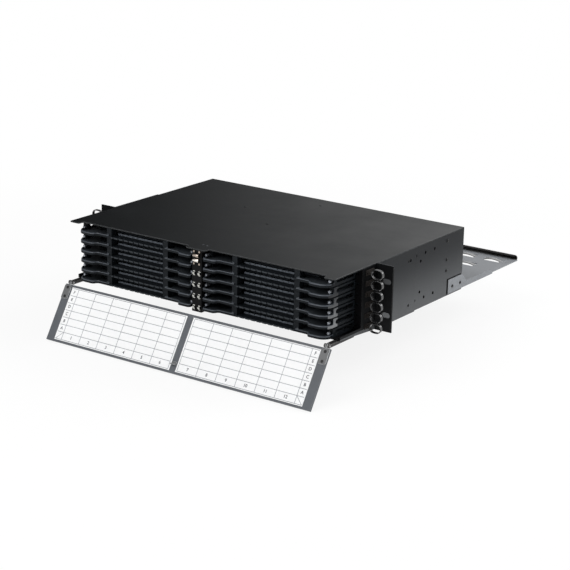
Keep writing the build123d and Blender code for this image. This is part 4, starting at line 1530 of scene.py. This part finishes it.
@dataclass
class CableRings:
    """The slit rings beside the trays, each a bent strip on an arm and a foot.

    Attributes:
        rows: Rings on one side.
        strip: Thickness of the bent strip.
        foot_reach: How far the foot stands out from the wall.
        foot_height: The foot's height.
        foot_length: The foot's length along the wall.
        arm_height: The arm's height.
        slit: Width of the slit.
        slit_angle: The slit's direction, in degrees below the outward one.
        steps: Steps round the ring.
        flatness: How long the ring's top and bottom stay straight, against a plain oval.
        run_share: Share of the height from the middle past which only the top and bottom lie.
        ring_share: Share of the height from the middle past which no foot and no arm lies.
        edge: Width of the rounded edges.
    """

    rows: int = 6
    strip: float = 1.25 * MM
    foot_reach: float = 1.5 * MM
    foot_height: float = 7.0 * MM
    foot_length: float = 18.0 * MM
    arm_height: float = 3.4 * MM
    slit: float = 2.4 * MM
    slit_angle: float = 50.0
    steps: int = 56
    flatness: float = 3.0
    run_share: float = 0.45
    ring_share: float = 0.3
    edge: float = 0.4 * MM

    def build(self) -> None:
        """Bend every ring."""
        for side in Side:
            for row in range(1, self.rows + 1):
                self._ring(f"cable_ring_{side.word}_{row}", side.value)

    def _centre_line(self, width: float, height: float) -> list[Pair]:
        """Give the strip's middle line, open at the slit, as points in the ring's plane.

        Args:
            width: The ring's outer width.
            height: The ring's outer height.

        Returns:
            Points from one lip of the slit round to the other, with the slit turned downwards.
        """
        round_end = (height - self.strip) / 2.0
        reach = (width - height) / 2.0
        open_half = self.slit / 2.0 / round_end
        start = -math.radians(self.slit_angle) + open_half
        points = []
        for step in range(self.steps + 1):
            turn = start + (2.0 * math.pi - 2.0 * open_half) * step / self.steps
            shift = reach * max(-1.0, min(1.0, self.flatness * math.cos(turn)))
            points.append((shift + round_end * math.cos(turn), round_end * math.sin(turn)))
        return points

    def _ring(self, node: str, sign: int) -> None:
        """Bend one ring and seat it on its foot.

        Args:
            node: The ring's node.
            sign: 1 for the right side, -1 for the left.
        """
        low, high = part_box(node)
        inner, outer = sorted((sign * low.x, sign * high.x))
        across = [sign * point.x for point in self._far_points(node, self.run_share)]
        start = min(across) + max(across) - outer
        depths = [point.y for point in self._far_points(node, self.ring_share)]
        thick = (min(depths), max(depths))
        wide = outer - start
        centre = (outer - wide / 2.0, (low.z + high.z) / 2.0)
        shape = bmesh.new()
        self._strip(shape, self._centre_line(wide, high.z - low.z), centre, thick)
        foot = inner + self.foot_reach
        foot_up = centred(self.foot_height, centre[1])
        arm_up = centred(self.arm_height, centre[1])
        add_block(shape, (inner, foot), (high.y - self.foot_length, high.y), foot_up, 1)
        add_block(shape, (foot, start + self.strip), thick, arm_up, 1)
        if sign < 0:
            bmesh.ops.scale(shape, vec=(-1.0, 1.0, 1.0), verts=shape.verts)
        bmesh.ops.recalc_face_normals(shape, faces=shape.faces)
        piece = stand_shape(f"{node}_bent", shape, RING_PLASTIC, RING_FOOT)
        break_edges(piece, self.edge, FORMED_ANGLE)
        claim(piece, node)

    def _far_points(self, node: str, share: float) -> list[Vector]:
        """Give the CAD points well above or below a ring's middle.

        Args:
            node: The ring's node.
            share: How far from the middle, as a share of the ring's height.

        Returns:
            The points.
        """
        low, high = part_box(node)
        middle = (low.z + high.z) / 2.0
        reach = share * (high.z - low.z)
        return [point for point in cad_points(node) if abs(point.z - middle) > reach]

    def _strip(self, shape: Shape, line: list[Pair], centre: Pair, depths: Pair) -> None:
        """Sweep the strip's section along its middle line.

        Args:
            shape: The shape to fill.
            line: The middle line's points.
            centre: The ring's centre in x and z.
            depths: The strip's front and back.
        """
        front, back = depths
        rows = []
        for place, spot in enumerate(line):
            before = Vector(line[max(place - 1, 0)])
            after = Vector(line[min(place + 1, len(line) - 1)])
            along = (after - before).normalized()
            out = Vector((along.y, -along.x)) * self.strip / 2.0
            row = []
            for depth, side in ((front, 1), (back, 1), (back, -1), (front, -1)):
                x, z = Vector(centre) + Vector(spot) + out * side
                row.append(shape.verts.new((x, depth, z)))
            rows.append(row)
        for before, after in zip(rows, rows[1:]):
            bridge(shape, before, after)
        shape.faces.new(rows[0])
        shape.faces.new(list(reversed(rows[-1])))


@dataclass
class CatchAndSprings:
    """The catch with its two rolled jaws, and the leaf springs on the front post.

    Attributes:
        spring_edge: Width of the springs' broken edges.
        catch_edge: Width of the catch's broken edges.
        jaw_radius: Radius of a rolled jaw.
        jaw_depth: How far a jaw stands out, as a share of its radius.
        jaw_sink: How far a jaw reaches into the plate.
        jaw_spacing: How far the jaws' middles stand from the catch's own middle.
        jaw_half: Half of a jaw's length.
        jaw_steps: Steps round a jaw.
        leaf: Thickness of the leaves and of the back plate.
        plate_gap: How far the back plate stays from the leaf ends.
        ear_height: How much of a leaf's end shows above and below.
        ear_inset: How far in from the catch's side the leaf ends stand.
        ear_width: Width of a leaf's end.
    """

    spring_edge: float = 0.12 * MM
    catch_edge: float = 0.24 * MM
    jaw_radius: float = 2.5 * MM
    jaw_depth: float = 1.2
    jaw_sink: float = 0.2 * MM
    jaw_spacing: float = 3.3 * MM
    jaw_half: float = 4.4 * MM
    jaw_steps: int = 14
    leaf: float = 1.1 * MM
    plate_gap: float = 0.6 * MM
    ear_height: float = 2.6 * MM
    ear_inset: float = 0.4 * MM
    ear_width: float = 2.3 * MM

    def build(self) -> None:
        """Form the catch and dress the springs."""
        self._catch()
        dress("post_springs", SPRING_STEEL, Edge(self.spring_edge, SPRING_EDGE_HIGHLIGHT))

    def _catch(self) -> None:
        """Form the catch: a back plate, four leaf ends and two rolled jaws, the lower one a painted
        highlight.
        """
        low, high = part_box("door_catch")
        middle = (low + high) / 2.0
        depth = (high.y - self.leaf, high.y)
        inner = self.ear_height + self.plate_gap
        shape = bmesh.new()
        plate = centred(2.0 * self.jaw_half, middle.x)
        add_block(shape, plate, depth, (low.z + inner, high.z - inner), 1)
        reach = high.x - middle.x - self.ear_inset - self.ear_width / 2.0
        for side in Side:
            ear = centred(self.ear_width, middle.x + side.value * reach)
            for end in ((low.z, low.z + self.ear_height), (high.z - self.ear_height, high.z)):
                add_block(shape, ear, depth, end)
        # Painted highlight: the lower jaw takes the lighter nickel.
        for rise, finish in ((self.jaw_spacing, 0), (-self.jaw_spacing, 2)):
            self._jaw(shape, Vector((middle.x, depth[0], middle.z + rise)), finish)
        bmesh.ops.recalc_face_normals(shape, faces=shape.faces)
        piece = stand_shape("door_catch_formed", shape, NICKEL, POST_COAT, NICKEL_HIGHLIGHT)
        break_edges(piece, self.catch_edge, FORMED_ANGLE, harden=False)
        claim(piece, "door_catch")

    def _jaw(self, shape: Shape, seat: Vector, finish: int) -> None:
        """Add one rolled jaw, a half round that stands out from the plate.

        Args:
            shape: The shape to fill.
            seat: The jaw's middle on the plate's face.
            finish: The place of its finish in the mesh's list.
        """
        foot = seat.y + self.jaw_sink
        profile = [(foot, seat.z - self.jaw_radius)]
        for step in range(self.jaw_steps + 1):
            turn = -math.pi / 2.0 + math.pi * step / self.jaw_steps
            reach = seat.y - self.jaw_depth * self.jaw_radius * math.cos(turn)
            profile.append((reach, seat.z + self.jaw_radius * math.sin(turn)))
        profile.append((foot, seat.z + self.jaw_radius))
        near, far = (
            [shape.verts.new((seat.x + end, *point)) for point in profile]
            for end in (-self.jaw_half, self.jaw_half)
        )
        faces = [shape.faces.new(near), shape.faces.new(list(reversed(far)))]
        for step in range(len(profile)):
            after = (step + 1) % len(profile)
            faces.append(shape.faces.new((near[step], far[step], far[after], near[after])))
            faces[-1].smooth = True
        for face in faces:
            face.material_index = finish


@dataclass
class DoorPlane:
    """The plane of the open label door: X across, Y up the door, Z out of its face.

    Attributes:
        origin: The hinge's middle.
        tilt: How far the door's face leans back from looking up, in radians.
    """

    origin: Vector
    tilt: float

    @classmethod
    def from_frame(cls) -> "DoorPlane":
        """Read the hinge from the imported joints.

        Returns:
            The plane at rest.
        """
        hinge = next(joint for joint in frame["joints"] if joint["name"] == "label_door_hinge")
        opened = math.radians(max(abs(angle) for angle in hinge["range_deg"]))
        return cls(Vector(hinge["pos_m"]), opened - math.pi / 2.0)

    @property
    def matrix(self) -> Matrix:
        """The way from the door's own frame to the panel's.

        Returns:
            The matrix.
        """
        across = Vector((1.0, 0.0, 0.0))
        out = Vector((0.0, -math.sin(self.tilt), math.cos(self.tilt)))
        turned = Matrix((across, out.cross(across), out)).transposed().to_4x4()
        return Matrix.Translation(self.origin) @ turned

    def box(self, node: str) -> Corners:
        """Give a node's corners in the door's own frame."""
        back = self.matrix.inverted()
        return corners([back @ point for point in cad_points(node)])


@dataclass(frozen=True)
class CardPlan:
    """Where the print of one card lies, in the door's own frame.

    Attributes:
        side: The card's side.
        low: The card's lowest corner.
        high: The card's highest corner.
        left: Where the first numbered column starts.
        bottom: Where the row of numbers starts.
        pitch: Column pitch.
        row_pitch: Row pitch.
        face: Height of the print's middle.
    """

    side: Side
    low: Vector
    high: Vector
    left: float
    bottom: float
    pitch: float
    row_pitch: float
    face: float


@dataclass
class LabelDoor:
    """The fold-down door with its two ruled cards, hinges and tongue.

    Attributes:
        frame_edge: Width of the door's broken edges.
        plate_edge: Width of the broken edges of the hinge plates and the tongue.
        arm_edge: Width of the hinge arms' broken edges.
        columns: Numbered columns on a card.
        rows: Lettered rows on a card; one more row holds the numbers.
        letter_column: Width of the outer column with the letters.
        inner_margin: Bare strip at the card's inner end.
        end_margin: Bare strip at the card's top and bottom.
        line_width: Width of the printed lines.
        line_rise: Thickness of the print.
        text_size: Height of the printed characters.
        text_weight: How much the characters' strokes are thickened.
        text_steps: Steps along a curve of the characters.
        screw: Head of a hinge plate screw.
        screw_sink: How far a head's seat lies below the middle of the plain one.
        plane: The open door's plane.
    """

    frame_edge: float = 0.3 * MM
    plate_edge: float = 0.2 * MM
    arm_edge: float = 0.25 * MM
    columns: int = 6
    rows: int = 6
    letter_column: float = 12.0 * MM
    inner_margin: float = 2.5 * MM
    end_margin: float = 1.4 * MM
    line_width: float = 0.75 * MM
    line_rise: float = 0.04 * MM
    text_size: float = 6.0 * MM
    text_weight: float = 0.12 * MM
    text_steps: int = 3
    screw: TurnedHead = TurnedHead(HeadShape.SCREW, 2.05 * MM, 0.58 * MM)
    screw_sink: float = 0.3 * MM
    plane: DoorPlane = field(default_factory=DoorPlane.from_frame)

    def build(self) -> None:
        """Dress the door and print its cards."""
        bright = Edge(self.plate_edge, PLATE_EDGE_HIGHLIGHT)
        dress("door_frame", DOOR_COAT, Edge(self.frame_edge, DOOR_EDGE_HIGHLIGHT))
        dress("door_strike", PLATE_STEEL, bright)
        dress("hinge_pins", PIN_STEEL)
        for side in Side:
            dress(f"label_card_{side.word}", CARD_PAPER)
            dress(f"hinge_plate_{side.word}", PLATE_STEEL, bright)
            arm_edge = Edge(self.arm_edge, ARM_EDGE_HIGHLIGHT)
            dress(f"hinge_arm_{side.word}", ARM_STEEL, arm_edge)
            self._print_card(side)
        self._screws()

    def _screws(self) -> None:
        """Turn the four screws of the hinge plates."""
        way = self.plane.matrix.to_3x3() @ Vector(UPWARD)
        places = []
        for low, high in solids_of("door_screws"):
            places.append(((low + high) / 2.0 - way * self.screw_sink, way))
        piece = REPEATS.run("door_screw_heads", places, self.screw.template(), SCREW_OXIDE)
        claim(piece, "door_screws")

    def _print_card(self, side: Side) -> None:
        """Print the table, the diagonal and the index marks of one card.

        Args:
            side: The card's side.
        """
        low, high = self.plane.box(f"label_card_{side.word}")
        right = side is Side.RIGHT
        width = high.x - low.x
        plan = CardPlan(
            side=side,
            low=low,
            high=high,
            left=low.x + (self.inner_margin if right else self.letter_column),
            bottom=low.y + self.end_margin,
            pitch=(width - self.letter_column - self.inner_margin) / self.columns,
            row_pitch=(high.y - low.y - 2.0 * self.end_margin) / (self.rows + 1),
            face=high.z + self.line_rise / 2.0,
        )
        values = {
            "Left": plan.left,
            "Bottom": plan.bottom,
            "Columns": self.columns,
            "Rows": self.rows + 1,
            "Column pitch": plan.pitch,
            "Row pitch": plan.row_pitch,
            "Line width": self.line_width,
            "Line rise": self.line_rise,
            "Whole left": low.x + (self.inner_margin if right else self.end_margin),
            "Whole width": width - self.inner_margin - self.end_margin,
        }
        table = TABLES.run(f"card_table_{side.word}", values, PRINT_GREY)
        self._mount(table, (0.0, 0.0, plan.face))
        for place, (text, spot) in enumerate(self._marks(plan)):
            self._print_mark(f"card_mark_{side.word}_{place + 1}", text, (*spot, plan.face))
        self._diagonal(plan)

    def _marks(self, plan: CardPlan) -> list[tuple[str, Pair]]:
        """List the numbers along the bottom row and the letters down the outer column.

        Args:
            plan: Where the card's print lies.

        Returns:
            Pairs of text and middle point.
        """
        right = plan.side is Side.RIGHT
        first = 1 + (self.columns if right else 0)
        marks = []
        for column in range(self.columns):
            across = plan.left + (column + 0.5) * plan.pitch
            marks.append((str(first + column), (across, plan.bottom + 0.5 * plan.row_pitch)))
        half = self.letter_column / 2.0
        across = plan.high.x - half if right else plan.low.x + half
        for row in range(self.rows):
            up = plan.bottom + (row + 1.5) * plan.row_pitch
            marks.append((chr(ord("A") + row), (across, up)))
        return marks

    def _print_mark(self, name: str, text: str, spot: Triple) -> None:
        """Print one character group as a flat mesh on the card.

        Args:
            name: The piece's name.
            text: The characters.
            spot: Their middle, in the door's own frame.
        """
        curve = bpy.data.curves.new(name, "FONT")
        curve.body = text
        curve.size = self.text_size
        curve.align_x = "CENTER"
        curve.align_y = "CENTER"
        curve.extrude = self.line_rise / 2.0
        curve.offset = self.text_weight
        curve.resolution_u = self.text_steps
        writer = stand(name, curve)
        mesh = plain_mesh(writer)
        bpy.data.objects.remove(writer)
        mesh.materials.clear()
        mesh.materials.append(PRINT_DARK.material())
        self._mount(stand(name, mesh), spot)

    def _diagonal(self, plan: CardPlan) -> None:
        """Print the diagonal across the outer bottom corner cell.

        Args:
            plan: Where the card's print lies.
        """
        sign = plan.side.value
        wide = self.letter_column - self.end_margin
        reach = max(abs(plan.low.x), abs(plan.high.x)) - self.end_margin - wide / 2.0
        length = math.hypot(wide, plan.row_pitch)
        shape = bmesh.new()
        add_block(shape, centred(length), centred(self.line_width), centred(self.line_rise))
        line = stand_shape(f"card_diagonal_{plan.side.word}", shape, PRINT_GREY)
        line.data.transform(Matrix.Rotation(-sign * math.atan2(plan.row_pitch, wide), 4, "Z"))
        self._mount(line, (sign * reach, plan.bottom + plan.row_pitch / 2.0, plan.face))

    def _mount(self, piece: Piece, spot: Triple) -> None:
        """Set a printed piece on the door and let it move with the door.

        Args:
            piece: The piece, about its own middle.
            spot: Where it goes, in the door's own frame.
        """
        piece.data.transform(self.plane.matrix @ Matrix.Translation(spot))
        claim(piece, "door_frame", stands_in=False)


@dataclass(frozen=True)
class Lamp:
    """A square soft lamp that looks at the panel.

    Attributes:
        name: The lamp's name.
        spot: Its place in metres.
        size: Its side in metres.
        power: Its power in watts.
    """

    name: str
    spot: Triple
    size: float
    power: float

    def hang(self) -> None:
        """Put the lamp in the scene."""
        data = bpy.data.lights.new(self.name, "AREA")
        data.size = self.size
        data.energy = self.power
        lamp = stand(self.name, data)
        lamp.location = self.spot
        lamp.rotation_euler = (-Vector(self.spot)).to_track_quat("-Z", "Y").to_euler()


@dataclass
class Studio:
    """A pale floor, a soft studio light and the camera of the photograph.

    Attributes:
        azimuth: Camera azimuth in degrees, 0 looking along +Y.
        elevation: Camera elevation in degrees.
        roll: Camera roll in degrees.
        lens: Focal length in millimetres.
        sensor: Sensor width in millimetres.
        reach: Nearest and farthest distance that the camera sees, in metres.
        spot: The camera's place in metres.
        floor_gap: Clearance of the floor below the lowest point.
        floor_size: Side of the floor in metres.
        floor_tone: Grey level of the floor's own colour.
        fill_level: World level for diffuse light.
        glow_share: How much of the floor's white near the panel is its own.
        glow_reach: Distances from the panel between which the floor's own share rises to all.
        card_radius: Distance of the reflection card in metres.
        card_height: Height of the reflection card in metres.
        card_span: The card's ends, as azimuths from +Y towards -X in degrees.
        card_steps: Steps along the card.
        card_fade: The azimuths between which the card falls from white to dark.
        card_dark: The card's level at its dark end.
        lamps: The lamps.
    """

    azimuth: float = 35.105
    elevation: float = 17.145
    roll: float = 1.173
    lens: float = 109.06
    sensor: float = 36.0
    reach: Pair = (0.05, 100.0)
    spot: Triple = (1.32118, -1.77300, 0.65544)
    floor_gap: float = 0.3 * MM
    floor_size: float = 30.0
    floor_tone: float = 0.95
    fill_level: float = 0.5
    glow_share: float = 0.86
    glow_reach: Pair = (0.45, 1.1)
    card_radius: float = 3.2
    card_height: float = 7.0
    card_span: Pair = (-40.0, 120.0)
    card_steps: int = 32
    card_fade: Pair = (18.0, 44.0)
    card_dark: float = 0.03
    lamps: tuple[Lamp, ...] = (
        Lamp("key_lamp", (1.1, 0.9, 1.0), 1.0, 16.0),
        Lamp("front_lamp", (-0.3, -1.6, 1.5), 1.4, 23.0),
    )

    def build(self) -> None:
        """Make the camera, the lamps, the world, the floor and the reflection card."""
        self._camera()
        self._world()
        self._floor()
        self._reflection_card()
        for lamp in self.lamps:
            lamp.hang()
        bpy.context.scene.view_settings.view_transform = "Standard"

    def _camera(self) -> None:
        """Place the camera as the photograph was taken."""
        turn, lift, roll = (math.radians(a) for a in (self.azimuth, self.elevation, self.roll))
        back = Vector(
            (math.sin(turn) * math.cos(lift), -math.cos(turn) * math.cos(lift), math.sin(lift))
        )
        right = (-back).cross(Vector(UPWARD)).normalized()
        up = right.cross(-back)
        rolled_right = math.cos(roll) * right + math.sin(roll) * up
        rolled_up = -math.sin(roll) * right + math.cos(roll) * up
        data = bpy.data.cameras.new("photo_camera")
        data.lens = self.lens
        data.sensor_width = self.sensor
        data.clip_start, data.clip_end = self.reach
        camera = stand("photo_camera", data)
        turned = Matrix((rolled_right, rolled_up, back)).transposed().to_4x4()
        camera.matrix_world = Matrix.Translation(self.spot) @ turned
        bpy.context.scene.camera = camera

    def _seen(self, grid: Grid) -> Socket:
        """Tell the rays that the camera sees by from those that only carry light.

        Args:
            grid: The builder of the material or the world.

        Returns:
            1 for the camera's, the mirrored and the transmitted rays, and 0 for others.
        """
        rays = grid.add("ShaderNodeLightPath").outputs
        seen = grid.math("MAXIMUM", rays["Is Camera Ray"], rays["Is Glossy Ray"])
        return grid.math("MAXIMUM", seen, rays["Is Transmission Ray"])

    def _world(self) -> None:
        """Show white to the camera and to reflections, and light the rest softly."""
        world = bpy.data.worlds.new("studio_world")
        grid = blank(world)
        soft, white = (
            grid.add("ShaderNodeBackground", {"Color": WHITE, "Strength": level})
            for level in (self.fill_level, 1.0)
        )
        lights = {1: soft.outputs["Background"], 2: white.outputs["Background"]}
        mix = grid.add("ShaderNodeMixShader", {"Fac": self._seen(grid), **lights})
        grid.add("ShaderNodeOutputWorld", {"Surface": mix.outputs["Shader"]})
        bpy.context.scene.world = world

    def _floor(self) -> None:
        """Lay the floor under the lowest point, white to the camera with a faint shadow."""
        shape = bmesh.new()
        bmesh.ops.create_grid(shape, x_segments=1, y_segments=1, size=self.floor_size / 2.0)
        floor = stand_shape("studio_floor", shape)
        floor.location.z = CAD_BOX[0].z - self.floor_gap
        floor.data.materials.append(self._floor_material())

    def _floor_material(self) -> bpy.types.Material:
        """Make the floor's white, partly lit by itself for the camera.

        Returns:
            The floor's material.
        """
        made = bpy.data.materials.new("studio_floor")
        grid = blank(made)
        place = grid.add("ShaderNodeTexCoord").outputs["Object"]
        reach = grid.add("ShaderNodeVectorMath", {0: place}, operation="LENGTH").outputs["Value"]
        rise = grid.ramp(reach, *self.glow_reach, ends=(self.glow_share, 1.0), soft=True)
        share = grid.math("MULTIPLY", self._seen(grid), rise)
        tone = self.floor_tone
        plain = grid.add("ShaderNodeBsdfDiffuse", {"Color": (tone, tone, tone, 1.0)})
        glow = grid.add("ShaderNodeEmission", {"Strength": 1.0})
        lights = {1: plain.outputs["BSDF"], 2: glow.outputs["Emission"]}
        mix = grid.add("ShaderNodeMixShader", {"Fac": share, **lights})
        grid.add("ShaderNodeOutputMaterial", {"Surface": mix.outputs["Shader"]})
        return made

    def _reflection_card(self) -> None:
        """Stand the curved card behind the panel that only glossy faces mirror."""
        level = CAD_BOX[0].z
        first, last = (math.radians(angle) for angle in self.card_span)
        shape = bmesh.new()
        rows = []
        for step in range(self.card_steps + 1):
            turn = first + (last - first) * step / self.card_steps
            spot = (-self.card_radius * math.sin(turn), self.card_radius * math.cos(turn))
            rows.append([shape.verts.new((*spot, level + up)) for up in (0.0, self.card_height)])
        for before, after in zip(rows, rows[1:]):
            shape.faces.new((before[0], after[0], after[1], before[1]))
        card = stand_shape("reflection_card", shape)
        card.data.materials.append(self._card_material())
        for rays in ("camera", "diffuse", "transmission", "shadow"):
            setattr(card, f"visible_{rays}", False)

    def _card_material(self) -> bpy.types.Material:
        """Make the card's fall from white to dark.

        Returns:
            The card's material.
        """
        made = bpy.data.materials.new("reflection_card")
        grid = blank(made)
        place = grid.add("ShaderNodeTexCoord").outputs["Object"]
        parts = grid.add("ShaderNodeSeparateXYZ", {"Vector": place}).outputs
        turn = grid.math("ARCTAN2", grid.math("MULTIPLY", parts["X"], -1.0), parts["Y"])
        start, end = (math.radians(angle) for angle in self.card_fade)
        fall = grid.ramp(turn, start, end, ends=(1.0, self.card_dark), soft=True)
        glow = grid.add("ShaderNodeEmission", {"Color": fall})
        grid.add("ShaderNodeOutputMaterial", {"Surface": glow.outputs["Emission"]})
        return made


def main() -> None:
    """Dress the panel piece by piece and set up the studio."""
    logging.basicConfig(level=logging.INFO)
    for part in (Enclosure(), TrayStack(), CableRings(), CatchAndSprings(), LabelDoor(), Studio()):
        part.build()
        LOG.info("%s is ready", type(part).__name__)


if __name__ == "__main__":
    main()
